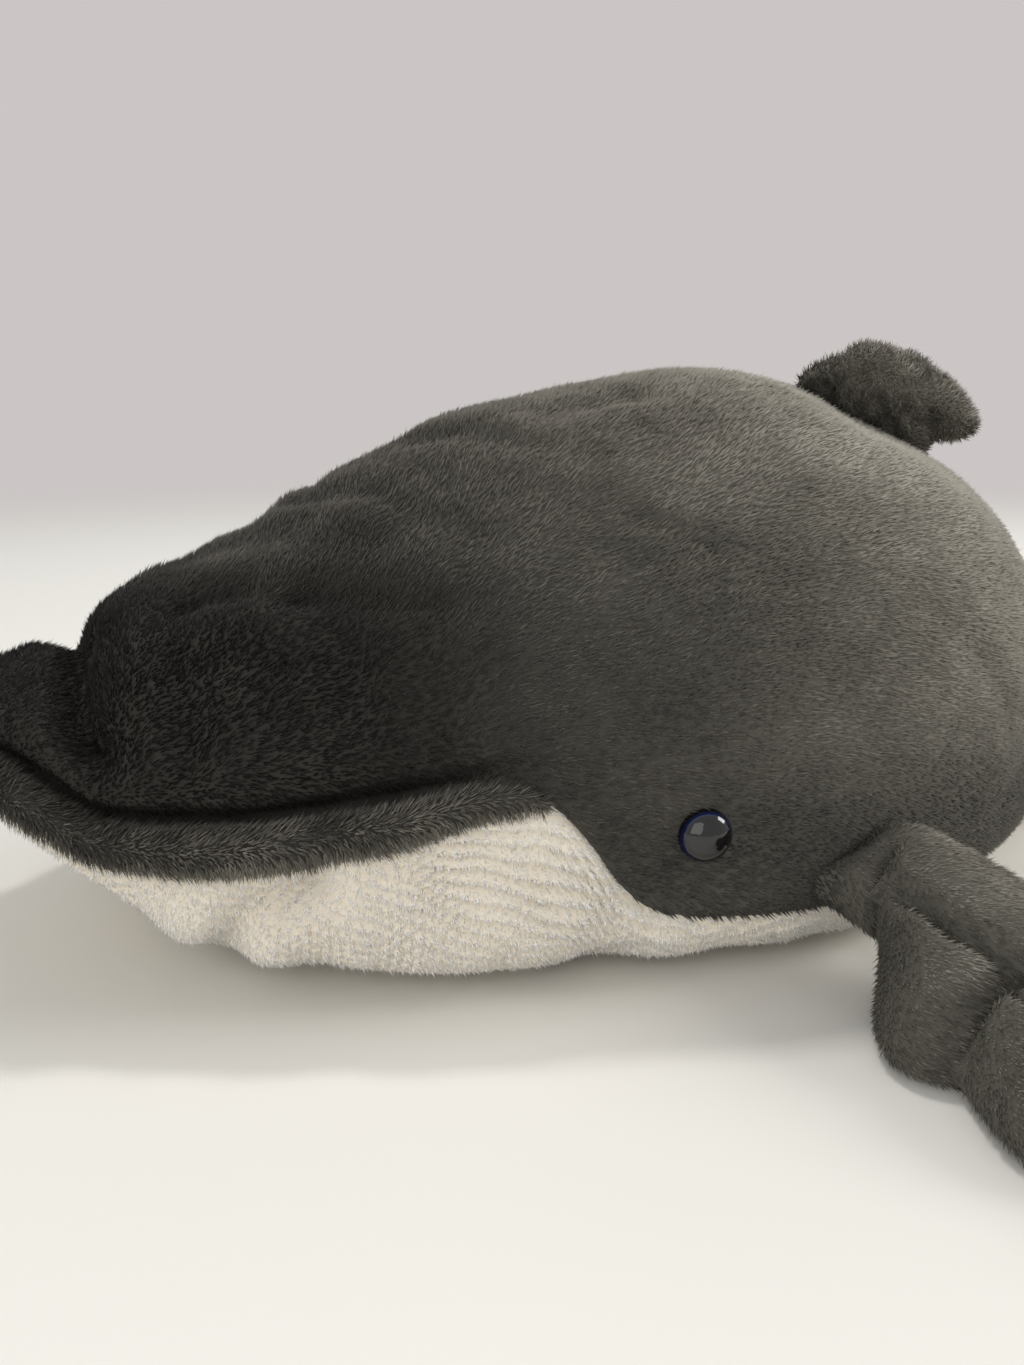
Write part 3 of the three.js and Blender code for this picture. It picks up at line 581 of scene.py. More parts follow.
def backing(name, dark, light, rear=0.0):
    """Rear says how much of the way from dark to light, painted shade to painted light, is gone
    from the face to the tail.
    """
    material, shader, wire = finish(name, roughness=0.95, gloss=0.2)
    place = wire.node("ShaderNodeTexCoord", output=3)
    along = wire.node("ShaderNodeSeparateXYZ", inputs={"Vector": place}, output=1)
    behind = wire.node("ShaderNodeMapRange",
                       inputs={"Value": along, "From Min": FACE_END, "From Max": REAR_START})
    cloud = wire.node("ShaderNodeTexNoise",
                      inputs={"Vector": place, "Scale": 60.0, "Detail": 4.0})
    grain = wire.node("ShaderNodeTexNoise",
                      inputs={"Vector": place, "Scale": 1400.0, "Detail": 2.0})
    mixed = (cloud * 0.7 + grain * 0.3) * (1 - rear) + behind * rear
    colour = wire.node("ShaderNodeMix", {"data_type": "RGBA"},
                       {0: mixed, 6: dark, 7: light}, output=2)
    link(shader, "Base Color", colour)
    bump = wire.node("ShaderNodeBump",
                     inputs={"Height": grain, "Strength": 0.5, "Distance": 0.0004})
    link(shader, "Normal", bump)
    return material


# dark at the face with painted shade, pale at the rear with painted light
grey_backing = backing("grey_backing", linear(28, 27, 26), linear(122, 119, 110), rear=0.75)
cream_backing = backing("cream_backing", linear(232, 220, 198), linear(248, 241, 228))
print("backings:", grey_backing.name, cream_backing.name)

# %% Body and tail skins
QUARTER = math.pi / 2
SIDE_SHARES = np.linspace(0, 1, 64)
BELLY_SHARES = np.concatenate([np.linspace(0, 0.2, 86), np.linspace(0.2, 0.8, 16)[1:-1],
                               np.linspace(0.8, 1, 86)])
# Each zone: its two ends behind the nose, and its rows of points.
ZONES = {"body": (0, BODY_END, 150), "tail": (BODY_END, TAIL_END, 27),
         "stump": (TAIL_END, STUMP_END, 18)}
SPANS = {
    "left": (lambda b: QUARTER + 0 * b, seam_angle),
    "right": (lambda b: math.pi - seam_angle(b), lambda b: QUARTER + 0 * b),
    "belly": (seam_angle, lambda b: -math.pi - seam_angle(b)),
}

skins, cloths = {}, {}
for zone, (first, last, rows) in ZONES.items():
    for side, (start, end) in SPANS.items():
        cream = side == "belly"
        shares = BELLY_SHARES if cream else SIDE_SHARES
        piece = panel(f"{zone}_skin_{side}", first, last, rows, shares, start, end,
                      cream_backing if cream else grey_backing, cream)
        cloths[zone, side] = cloth_of(piece)
        thicken(piece)
        skins[zone, side] = piece
print("skins:", ", ".join(p.name for p in skins.values()))

# %% [markdown]
# ## The pile
# A tuft is a slim spike of three sides, sunk a little into the cloth and leaning the way the pile
# is combed. Plush tufts stand in the thousands, so the mesh is written as arrays. Their roots are
# spread over the skin by area. Where the pile was stroked another way, whole patches lean
# differently and look lighter or darker, so lean, direction and shade follow slow random hills. The
# shades are a few finishes of one grey, the darker and lighter ones standing in for painted shade
# and painted light, and each tuft takes one of them.

# %% Shades of the pile
def pile_shades(name, colours, sheen, sheen_colour):
    """Finishes from dark to light. The darkest, used for the face's painted shade, shine less."""
    shades = []
    for i, colour in enumerate(colours):
        weight = sheen * min(1, (i + 1) / 5)
        material, shader, wire = finish(f"{name}_{i + 1}", 0.85, weight, sheen_colour, gloss=0.15)
        shader.inputs["Base Color"].default_value = colour
        place = wire.node("ShaderNodeTexCoord", output=3)
        strands = wire.node("ShaderNodeTexNoise", inputs={"Vector": place, "Scale": 2600.0})
        link(shader, "Roughness", strands * 0.3 + 0.65)
        shades.append(material)
    return shades


GREY_SHADES = pile_shades(
    "grey_pile", [linear(*c) for c in (
        (15, 14, 13), (25, 24, 23), (33, 32, 30), (43, 42, 40), (55, 53, 50), (67, 65, 61),
        (81, 78, 73), (97, 94, 87), (115, 111, 103), (133, 129, 119), (152, 148, 138),
        (172, 168, 157))], sheen=0.25, sheen_colour=linear(196, 192, 182))
CREAM_SHADES = pile_shades(
    "cream_pile", [linear(*c) for c in (
        (234, 223, 202), (243, 235, 220), (249, 244, 234), (252, 249, 243), (254, 252, 249))],
    sheen=0.2, sheen_colour=(1, 1, 1, 1))
print("shades:", len(GREY_SHADES), "grey and", len(CREAM_SHADES), "cream")

# %% Tufts
SPIKE_FACES = ((0, 1, 2), (0, 2, 3), (2, 1, 3), (1, 0, 3))
SUNK = 0.0005             # how deep a tuft's foot is in the cloth


def roots_on(cloth, density, rng):
    """Random places on a cloth, so many to a square metre, with the directions it faces there."""
    points, normals, triangles, marks = cloth
    corners = points[triangles]
    across = np.cross(corners[:, 1] - corners[:, 0], corners[:, 2] - corners[:, 0])
    area = np.linalg.norm(across, axis=1) / 2
    count = np.floor(area * density + rng.random(len(area))).astype(int)
    which = np.repeat(np.arange(len(area)), count)
    u, v = rng.random((2, len(which)))
    folded = u + v > 1
    u, v = np.where(folded, 1 - u, u), np.where(folded, 1 - v, v)
    weights = np.stack([1 - u - v, u, v], -1)
    corners = triangles[which]
    roots = (points[corners] * weights[..., None]).sum(1)
    out = unit((normals[corners] * weights[..., None]).sum(1))
    return roots, out, (marks[corners] * weights).sum(1)


def turned(rows, axis, angle):
    """Vectors turned about axes that stand square to them."""
    return rows * np.cos(angle)[:, None] + np.cross(axis, rows) * np.sin(angle)[:, None]


def spikes(roots, out, comb, lean, length, width):
    """Points and triangles of closed three-sided spikes."""
    ahead = out * np.cos(lean)[:, None] + comb * np.sin(lean)[:, None]
    side = unit(np.cross(out, ahead))
    top = np.cross(ahead, side)
    half = width[:, None] / 2
    base = roots - out * SUNK
    points = [base + way * half for way in (side, -side, top)] + [roots + ahead * length[:, None]]
    triangles = (np.arange(len(roots)) * 4)[:, None, None] + np.array(SPIKE_FACES)
    return np.stack(points, 1).reshape(-1, 3), triangles.reshape(-1, 3)


def mesh_piece(name, points, triangles, materials, slots):
    """A new object from arrays of points, triangles and material numbers."""
    mesh = bpy.data.meshes.new(name)
    mesh.vertices.add(len(points))
    mesh.vertices.foreach_set("co", points.astype(np.float32).ravel())
    mesh.loops.add(triangles.size)
    mesh.loops.foreach_set("vertex_index", triangles.astype(np.int32).ravel())
    mesh.polygons.add(len(triangles))
    mesh.polygons.foreach_set("loop_start", np.arange(0, triangles.size, 3, dtype=np.int32))
    for material in materials:
        mesh.materials.append(material)
    mesh.polygons.foreach_set("material_index", slots.astype(np.int32))
    mesh.update(calc_edges=True)
    mesh.shade_smooth()
    obj = bpy.data.objects.new(name, mesh)
    bpy.context.collection.objects.link(obj)
    return obj


print("a tuft has", len(SPIKE_FACES), "faces")

# %% Growing a pile
MOST_TUFTS = 48000        # in one piece
TUFT_FLOOR = 0.0001


def grow(name, cloth, flow, density, length, width, lean, shades, shade, seed, keep=None, swirl=0.2,
         speckle=0.6, trim=None):
    """
    Covers a cloth with tufts and returns the pieces, none with too many triangles. Lean is in
    degrees from upright, and shade counts from the darkest. Keep says which roots grow a tuft,
    and trim how much longer and how many shades lighter each tuft is.
    """
    rng = np.random.default_rng(seed)
    roots, out, marks = roots_on(cloth, density, rng)
    if keep is not None:
        kept = keep(roots, marks)
        roots, out, marks = roots[kept], out[kept], marks[kept]
    order = np.argsort(roots[:, 1], kind="stable")
    roots, out, marks = roots[order], out[order], marks[order]
    longer, lighter = trim(roots, out, marks) if trim else (1, 0)
    comb = flow(roots, out, marks)
    comb = unit(comb - (comb * out).sum(1)[:, None] * out)
    count = len(roots)
    turn = swirl * (waves(roots, 0.05, seed + 1) * 0.6 + waves(roots, 0.015, seed + 2) * 0.35
                    + rng.normal(0, 0.45, count))
    comb = turned(comb, out, turn)
    patch = waves(roots, 0.045, seed + 3)
    leaning = np.radians(np.clip(lean + 4 * patch + rng.normal(0, 9, count), 5, 84))
    long = length * longer * np.clip(1 + 0.18 * rng.normal(size=count), 0.5, 1.5)
    wide = width * rng.uniform(0.75, 1.25, count)
    tone = (shade + lighter + speckle * (0.5 * patch + 0.4 * waves(roots, 0.012, seed + 4)
                                         + rng.normal(0, 1, count)))
    tone = np.clip(np.rint(tone), 0, len(shades) - 1).astype(int)
    pieces = []
    for part, chosen in enumerate(np.array_split(np.arange(count), -(-count // MOST_TUFTS))):
        points, triangles = spikes(roots[chosen], out[chosen], comb[chosen], leaning[chosen],
                                   long[chosen], wide[chosen])
        points[:, 2] = np.maximum(points[:, 2], TUFT_FLOOR)
        pieces.append(mesh_piece(f"{name}_{part + 1}", points, triangles, shades,
                                 np.repeat(tone[chosen], len(SPIKE_FACES))))
    print(name, count, "tufts in", len(pieces), "pieces")
    return pieces


print("at most", MOST_TUFTS, "tufts in a piece")

# %% [markdown]
# ## Combing the body
# The pile's shade by place is painted light and shade. The face, turned away from the lamps, is
# painted nearly black and the lowest flanks a little darker, while the rear flanks and the ridge,
# which the light falls on, are painted a warm mid grey. A smooth change of colour would look
# printed, so each tuft picks its shade by its place. The cream cloth is ribbed, and each rib ends
# in a longer fringe that shades the one below; the tan under each rib is painted shade and the
# light fringe painted light.

# %% Ways of combing
def steady(*way):
    """A pile combed one way all over."""
    return lambda roots, out, marks: np.array(way, float) + 0 * roots


def backwards(roots, out, from_seam):
    """Combed towards the tail, up the front of the forehead and down over the edge of the cloth."""
    down = 0.2 + 0.9 * np.exp(-from_seam / 0.003) * (out[:, 2] < 0.7)
    return np.stack([0 * down, 1 + 0 * down, 1.1 * np.clip(-out[:, 1], 0, 1) - down], -1)


def soft_step(value, start, end):
    """From 0 at start to 1 at end, without a kink."""
    share = np.clip((value - start) / (end - start), 0, 1)
    return share * share * (3 - 2 * share)


def painted_light_and_shade(roots, out, from_seam):
    """Painted shade on the face and low down, painted light on the ridge and the rear flanks."""
    back, level = roots[:, 1] + MIDDLE, roots[:, 2]
    # the face's painted shade ends before the eye and below the forehead, and is less on the bill
    face = soft_step(-back, -0.158, -0.08) * soft_step(-level, -0.112, -0.088)
    face = face * (1 - 0.2 * soft_step(-back, -0.05, -0.03))
    # painted light on the rear flanks and on the ridge, which faces up; painted shade low down
    rear = soft_step(back, 0.15, 0.30) * soft_step(level, 0.025, 0.095)
    ridge = soft_step(out[:, 2], 0.45, 0.85) * soft_step(back, 0.08, 0.22)
    low = soft_step(-level, -0.06, -0.04)
    return 1, 4.2 * rear - 5.4 * face + 2.1 * ridge * (1 - 0.6 * rear) - 0.4 * low * (1 - face)


def cream_trim(roots, out, place):
    """Each rib ends below in a longer fringe of painted light, with painted tan shade above from
    the one before.
    """
    lap = 1 - (place - np.floor(place))
    return 0.75 + 0.25 * lap, 2.3 * np.clip((lap - 0.1) / 0.25, 0, 1)


print("ways of combing ready")

# %% Where tufts grow
EYE_OUT = unit(np.array([0.970, -0.244, 0.011]))
EYE_CLEARING, EYE_DEPTH = 0.0072, 0.02
CREASE_END = 0.136        # of the mouth, behind the nose


def clear_of_eye(roots):
    """No tufts under the eye's button."""
    away = np.abs(roots * (1, 0, 0)) + roots * (0, 1, 1) - EYE
    beside_axis = np.linalg.norm(away - (away @ EYE_OUT)[:, None] * EYE_OUT, axis=1)
    return (beside_axis > EYE_CLEARING) | (np.linalg.norm(away, axis=1) > EYE_DEPTH)


def grey_growth(roots, from_seam):
    """None under the eye or in the depth of the mouth's crease."""
    runs = np.clip((CREASE_END - roots[:, 1] - MIDDLE) / 0.03, 0, 1)
    return clear_of_eye(roots) & (from_seam > 0.003 * (runs > 0) + 0.0055 * runs)


def cream_growth(roots, place):
    """None on the floor side, and few in the line between two ribs."""
    lap = 1 - (place - np.floor(place))
    return (roots[:, 2] > 0.0012) & (lap > 0.1) & (lap < 0.82)


print("bare round the eye:", round(2 * EYE_CLEARING / MM, 1), "mm across")

# %% Pile of body and tail
piles = {}
for i, ((zone, side), cloth) in enumerate(cloths.items()):
    if side == "belly":
        piles[zone, side] = grow(
            f"{zone}_pile_{side}", cloth, steady(0, 0.45, -1), density=1.75e6, length=1.9 * MM,
            width=0.66 * MM, lean=62, shades=CREAM_SHADES, shade=1.8, seed=100 + i,
            keep=cream_growth, swirl=0.3, speckle=0.12, trim=cream_trim)
    else:
        # the grey pile's shades carry painted light and shade by place
        piles[zone, side] = grow(
            f"{zone}_pile_{side}", cloth, backwards, density=1.5e6, length=2.5 * MM,
            width=0.66 * MM, lean=60, shades=GREY_SHADES, shade=5.8, seed=100 + i,
            keep=grey_growth, speckle=0.5, trim=painted_light_and_shade)

# %% [markdown]
# ## The lower lip
# A roll of long-piled cloth runs from one corner of the mouth round the chin to the other. It is a
# ball pulled out along the line of the mouth, thinner towards its ends, with its back flattened
# against the body. Its tufts are long and bent and hang down over the cream like a fringe.

# %% Ball and mouth line
MOUTH_CORNER = 0.144
CROWDING = 1.6            # the line's points lie closer at the chin


def ball(name, segments, rings, place, material):
    """A ball pulled into a form: place takes how far from pole to pole and the angle round."""
    deselect()
    bpy.ops.mesh.primitive_uv_sphere_add(segments=segments, ring_count=rings, radius=1)
    obj = bpy.context.object
    obj.name = name
    flat = vectors(obj.data.vertices)
    set_points(obj, place(np.arccos(np.clip(flat[:, 2], -1, 1)) / math.pi,
                          np.arctan2(flat[:, 1], flat[:, 0])))
    obj.data.materials.append(material)
    obj.data.uv_layers[0].name = "OFBake"
    choose(obj)
    bpy.ops.object.mode_set(mode="EDIT")
    bpy.ops.mesh.select_all(action="SELECT")
    bpy.ops.mesh.normals_make_consistent(inside=False)
    bpy.ops.object.mode_set(mode="OBJECT")
    bpy.ops.object.shade_smooth()
    return obj


def ball_cloth(obj):
    """
    A ball's cloth, to grow a pile on. Blender may list a ball's faces in another order each time,
    and the tufts would stand elsewhere, so the triangles are put in the order of their places.
    """
    points, normals, triangles, marks = cloth_of(obj)
    rank = np.empty(len(points), int)
    rank[np.lexsort(points.T)] = np.arange(len(points))
    start = rank[triangles].argmin(axis=1)[:, None]
    triangles = np.take_along_axis(triangles, (start + np.arange(3)) % 3, axis=1)
    return points, normals, triangles[np.lexsort(rank[triangles].T)], marks


def mouth_line(count):
    """Places on the line of the mouth from corner to corner, with its outward directions."""
    share = np.linspace(-1, 1, 400)
    back = MOUTH_CORNER * np.abs(share) ** CROWDING
    line = skin(back, seam_angle(back))
    line[:, 0] *= np.sign(share)
    run = np.concatenate([[0], np.cumsum(np.linalg.norm(np.diff(line, axis=0), axis=1))])
    even = np.linspace(0, run[-1], count)
    line = np.stack([np.interp(even, run, line[:, k]) for k in range(3)], -1)
    for _ in range(12):
        line[1:-1] = (line[:-2] + 2 * line[1:-1] + line[2:]) / 4
    along = unit(np.gradient(line, axis=0))
    out = unit(np.cross(along, (0, 0, 1)))
    return line, out, np.abs(np.interp(even, run, share)) ** CROWDING


LINE, LINE_OUT, LINE_SHARE = mouth_line(161)
print("chin at", np.round(LINE[len(LINE) // 2], 3))

# %% Lip
LIP_HALF, LIP_OUT = 0.0054, 0.0078
BACK_SHARE = 0.4          # how round the side against the body is
# Rows: place from the chin to a corner, then the thickness.
LIP_SHARES = np.array([(0, 0.9), (0.14, 0.95), (0.45, 1), (0.7, 0.95), (0.88, 0.7), (1, 0.3)])


def lip_place(share, turn):
    """The roll's skin, along the line and round it."""
    at, count = share * (len(LINE) - 1), np.arange(len(LINE))
    middle, out = [np.stack([np.interp(at, count, rows[:, k]) for k in range(3)], -1)
                   for rows in (LINE, LINE_OUT)]
    thick = smooth_column(LIP_SHARES, 1, np.interp(at, count, LINE_SHARE))
    thick = thick * np.clip(1 - np.abs(2 * share - 1) ** 30, 0, 1) ** 0.5
    reach = np.where(np.cos(turn) > 0, LIP_OUT, LIP_OUT * BACK_SHARE) * np.cos(turn) * thick
    points = middle + out * reach[:, None]
    points[:, 2] += LIP_HALF * thick * np.sin(turn)
    return points + out * (0.7 * MM * waves(points, 0.03, 21))[:, None]


lip = ball("lower_lip", 28, 200, lip_place, grey_backing)


def lip_flow(roots, out, marks):
    """Backwards on top, and down in the fringe."""
    low = np.clip(-out[:, 2:3] * 1.5 + 0.3, 0, 1)
    return np.array([0, 1, -0.35]) * (1 - low) + np.array([0, 0.45, -1]) * low


def lip_trim(roots, out, marks):
    """Longer and lighter in the fringe below, and darker towards the chin with painted shade, as on
    the face.
    """
    chin = soft_step(-roots[:, 1] - MIDDLE, -0.05, -0.01)
    return 1 + 0.35 * np.clip(-out[:, 2], 0, 1), 0.8 * (out[:, 2] < -0.2) - 1.0 * chin


lip_pile = grow("lower_lip_pile", ball_cloth(lip), lip_flow, density=2.2e6, length=3.1 * MM,
                width=0.55 * MM, lean=55, shades=GREY_SHADES, shade=6.4, seed=300,
                swirl=0.4, speckle=0.9, trim=lip_trim)

# %% [markdown]
# ## Eyes
# A domed glossy button, black, with a thin dark blue ring near its edge. The dome is a ball whose
# outline is replaced by the button's own profile: flat back, low rim, dome. The ring is a band of
# its faces in a second finish. The clear shine is a coat over the colour, as on lacquered plastic.

# %% Eye finishes
def eye_finish(name, colour):
    """Glossy plastic with a breath of dust."""
    material, shader, wire = finish(name, roughness=0.05, coat=0.5)
    shader.inputs["Base Color"].default_value = colour
    place = wire.node("ShaderNodeTexCoord", output=3)
    dust = wire.node("ShaderNodeTexNoise", inputs={"Vector": place, "Scale": 900.0, "Detail": 3.0})
    link(shader, "Roughness", dust * 0.08 + 0.03)
    return material


EYE_BLACK = eye_finish("eye_black_gloss", linear(8, 8, 10))
EYE_BLUE = eye_finish("eye_blue_gloss", linear(18, 26, 62))
print("eye finishes:", EYE_BLACK.name, EYE_BLUE.name)

# %% Eyes
EYE_PROFILE = np.array([
    (0, 5.8), (1.2, 5.73), (2.4, 5.5), (3.6, 5.09), (4.7, 4.5), (5.6, 3.8), (6.3, 2.98),
    (6.8, 1.95), (7, 0.8), (7, 0.1), (6.8, -0.1), (0, -0.1)]) * MM
PROFILE_RUN = np.concatenate(
    [[0], np.cumsum(np.linalg.norm(np.diff(EYE_PROFILE, axis=0), axis=1))])
RING_IN, RING_OUT = 0.0061, 0.0067

SIGNS = {"left": 1, "right": -1}        # which way each side lies

eyes = {}
for side, sign in SIGNS.items():
    out = EYE_OUT * (sign, 1, 1)
    up = unit(np.array([0, 0, 1]) - out[2] * out)
    across = np.cross(up, out)
    seat = EYE * (sign, 1, 1) - out * MM

    def eye_place(share, turn):
        radius, height = [np.interp(share * PROFILE_RUN[-1], PROFILE_RUN, EYE_PROFILE[:, k])
                          for k in (0, 1)]
        return (seat + across * (radius * np.cos(turn))[:, None]
                + up * (radius * np.sin(turn))[:, None] + out * height[:, None])

    eye = ball(f"eye_button_{side}", 48, 48, eye_place, EYE_BLACK)
    eye.data.materials.append(EYE_BLUE)
    middles = vectors(eye.data.polygons, "center") - seat
    radius = np.linalg.norm(middles - (middles @ out)[:, None] * out, axis=1)
    ring = (radius > RING_IN) & (radius < RING_OUT) & (middles @ out > MM)
    eye.data.polygons.foreach_set("material_index", ring.astype(np.int32))
    eyes[side] = eye
print("eyes:", ", ".join(eyes))

# %% [markdown]
# ## Flippers, fin and fluke
# Each limb is a ball pulled out along its length, with a table for its width, thickness and sweep.
# The flipper's front edge is scalloped into four lobes, which lie on the table, and a long crease
# parts them from the fuller main part. The fin is a blunt hook that has flopped over to the left.

# %% Limb tables
# Rows: place from root to tip, then width, thickness and sweep, and the flipper's fore reach.
FLIPPER_SHARES = np.array([
    (-0.08, 0.66, 0.4, 0, 0.95), (0, 0.72, 0.56, 0, 0.86), (0.045, 0.78, 0.88, 0, 0.58),
    (0.11, 0.85, 1, 0.005, 0.44), (0.2, 0.97, 1, 0.02, 0.55), (0.35, 1, 0.96, 0.12, 0.72),
    (0.55, 0.98, 0.85, 0.34, 0.84), (0.75, 0.84, 0.72, 0.62, 0.92), (0.9, 0.56, 0.55, 0.86, 1),
    (0.97, 0.3, 0.36, 0.96, 1), (1, 0.1, 0.16, 1, 1)])
FIN_SHARES = np.array([
    (-0.12, 0.9, 0.35, 0.1), (0.05, 0.97, 0.5, 0.15), (0.33, 1, 0.95, 0.3), (0.62, 1, 1, 0.42),
    (0.86, 0.8, 0.85, 0.72), (0.97, 0.42, 0.5, 1), (1, 0.2, 0.3, 1.1)])
FLUKE_SHARES = np.array([
    (0, 0.8, 1, 0), (0.15, 0.84, 1, 0.02), (0.35, 0.95, 0.9, 0.14), (0.6, 0.86, 0.75, 0.42),
    (0.82, 0.58, 0.55, 0.74), (0.95, 0.28, 0.36, 0.94), (1, 0.1, 0.16, 1)])


def limb_sizes(table, share):
    """Place along the table, width, thickness and sweep, closed at both poles."""
    place = table[0, 0] + (1 - table[0, 0]) * share
    width, thick, sweep = [smooth_column(table, k, place) for k in (1, 2, 3)]
    shut = np.sqrt(np.clip(1 - np.abs(2 * share - 1) ** 14, 0, 1))
    return place, width * shut, thick * shut, sweep


print("rows for flipper, fin and fluke:", len(FLIPPER_SHARES), len(FIN_SHARES), len(FLUKE_SHARES))

# %% Flipper form
FLIPPER_LENGTH, FLIPPER_FORE, FLIPPER_AFT, FLIPPER_THICK = 0.150, 0.034, 0.029, 0.013
FLIPPER_ROOT = np.array([0.1075, 0.232 - MIDDLE, 0.029])
FLIPPER_SWEEP = 0.034
LOBE, FIRST_LOBE, LOBE_STEP = 0.009, 0.1, 0.25        # depth, start and spacing of the lobes
EDGE_LEVEL = 0.006        # where the lobes hang to
LEAST_LEVEL = 0.0005


def flipper_place(share, turn):
    """The flipper's skin: lobes in front, a crease behind them, and the fuller main part."""
    place, width, thick, sweep = limb_sizes(FLIPPER_SHARES, share)
    across, up = np.cos(turn), np.sin(turn)
    # the lobes of the front edge
    lap = (place - FIRST_LOBE) / LOBE_STEP
    lap = lap - np.floor(lap)
    past = soft_step(place, FIRST_LOBE - 0.02, FIRST_LOBE + 0.05)
    lobe = LOBE * (np.sin(math.pi * lap ** 1.8) ** 0.7 - 0.35) * (place > FIRST_LOBE)
    fore = FLIPPER_FORE * width * smooth_column(FLIPPER_SHARES, 4, place) + lobe
    chord = np.where(across < 0, fore, FLIPPER_AFT * width)
    half = FLIPPER_THICK * thick
    # the crease behind them, and a notch between each two
    fold = -0.52 + 0.3 * lap - 0.4 * (1 - soft_step(place, 0.08, 0.2))
    crease = np.exp(-((across - fold) / 0.085) ** 2) * past
    crease = crease * np.clip((0.9 - place) / 0.2, 0, 1)
    notch = np.exp(-((lap - 1) / 0.07) ** 2) + np.exp(-(lap / 0.07) ** 2) * (place > 0.2)
    crease = np.maximum(crease, notch * (across < -0.2) * (place < 0.95))
    # the fuller main part, and the lobes' own bulge
    body = np.sign(up) * np.abs(up) ** 0.8
    main = np.exp(-((across - 0.15) / 0.42) ** 2) * np.clip((0.95 - place) / 0.5, 0, 1)
    down = np.clip((fold - across) / (1 + fold), 0, 1)
    bulge = np.sin(math.pi * down) * past
    high = half * (body + np.clip(up, 0, 1) * (0.35 * main - 1.1 * crease + 0.3 * bulge))
    # the root stands off the table, and from half way out the flipper lies on it
    lift = (half + LOWEST - FLIPPER_ROOT[2]) * soft_step(place, 0, 0.55)
    hanging = down * soft_step(place, FIRST_LOBE - 0.01, FIRST_LOBE + 0.07)
    lift = lift - np.clip(FLIPPER_ROOT[2] + lift - EDGE_LEVEL, 0, 1) * hanging
    points = np.stack([FLIPPER_ROOT[0] + FLIPPER_LENGTH * place,
                       FLIPPER_ROOT[1] + FLIPPER_SWEEP * sweep + across * chord,
                       FLIPPER_ROOT[2] + lift + high], -1)
    points[:, 2] += 0.8 * MM * waves(points, 0.03, 31) * np.clip(up, 0, 1)
    points[:, 2] = np.maximum(points[:, 2], LEAST_LEVEL)
    return points


print("flipper reaches", round(FLIPPER_ROOT[0] + FLIPPER_LENGTH, 4), "m from the middle")

# %% Flippers
UNDERSIDE_SHARE = 0.45    # of the tufts grow where the flipper lies on the table


def flipper_trim(roots, out, marks):
    """Painted shade where it meets the body and underneath, painted light on top."""
    root = soft_step(-np.abs(roots[:, 0]), -0.119, -0.108)
    return 1, 1.8 * soft_step(out[:, 2], 0.2, 0.8) * (1 - root) - 2.8 * root


def flipper_growth(roots, marks):
    """None inside the body, and fewer on the side that lies on the table."""
    picked = np.mod(roots[:, 0] * 1e6, 1) < UNDERSIDE_SHARE
    return (np.abs(roots[:, 0]) > 0.104) & ((roots[:, 2] > 0.002) | picked)


flippers = {}
for side, sign in SIGNS.items():
    flip = np.array([sign, 1, 1])
    skin_piece = ball(f"flipper_skin_{side}", 112, 96, lambda s, t: flipper_place(s, t) * flip,
                      grey_backing)
    # its pile starts a shade lighter than the body's, painted light on a part that faces the lamp
    # above
    pile = grow(f"flipper_pile_{side}", ball_cloth(skin_piece), steady(sign, 0.45, -0.1),
                density=1.5e6, length=2.4 * MM, width=0.64 * MM, lean=62, shades=GREY_SHADES,
                shade=6.8, seed=400 + sign, keep=flipper_growth, trim=flipper_trim)
    flippers[side] = [skin_piece, *pile]

# %% Fin form
FIN_ROOT = np.array([0, 0.050756, 0.146675])
FIN_HEIGHT, FIN_CHORD, FIN_THICK, FIN_SWEEP = 0.0310, 0.0295, 0.009, 0.014
# Directions down the slope of the back and square to it.
FIN_ALONG = np.array([0, 0.882948, -0.469472])
FIN_UP = np.array([0, 0.469472, 0.882948])
FIN_LEAN = math.radians(52)        # to the left, from upright
FIN_OUT = FIN_UP * math.cos(FIN_LEAN) + np.array([1, 0, 0]) * math.sin(FIN_LEAN)
FIN_FACE = np.cross(FIN_OUT, FIN_ALONG)
# A crease and a lump, as places along and out, on the face that hangs to the left.
FIN_CREASE = np.array([(0.015, 0.021), (0.033, 0.012)])
FIN_LUMP = (0.026, 0.003)


def fin_place(share, turn):
    """The fin's skin, with its crumples."""
    place, width, thick, sweep = limb_sizes(FIN_SHARES, share)
    across, up = np.cos(turn), np.sin(turn)
    along = FIN_SWEEP * sweep + FIN_CHORD * width * across
    run = FIN_CREASE[1] - FIN_CREASE[0]
    flat = np.stack([along, FIN_HEIGHT * place], -1)
    on = np.clip((flat - FIN_CREASE[0]) @ run / (run @ run), 0, 1.5)
    crease = hill(np.linalg.norm(flat - FIN_CREASE[0] - on[:, None] * run, axis=1), 2.6)
    lump = hill(np.linalg.norm(flat - FIN_LUMP, axis=1), 6)
    face = FIN_THICK * thick * up + MM * (6 * crease - 5 * lump) * np.clip(-up, 0, 1)
    along = along - 3 * MM * crease * np.clip(across, 0, 1)
    points = FIN_ROOT + (np.stack([FIN_HEIGHT * place, along, face], -1)
                         @ np.stack([FIN_OUT, FIN_ALONG, FIN_FACE]))
    lumps = 0.8 * waves(points, 0.022, 41) + 0.75 * waves(points, 0.007, 42)
    return points + unit(points - FIN_ROOT - FIN_OUT * 0.02) * (MM * lumps)[:, None]


print("fin leans by", round(math.degrees(FIN_LEAN)), "degrees")

# %% Fin
def fin_trim(roots, out, marks):
    """Painted light towards the tip, painted shade at the seam where it meets the back."""
    return 1, 2.4 * soft_step((roots - FIN_ROOT) @ FIN_OUT, 0.004, 0.022) - 0.6


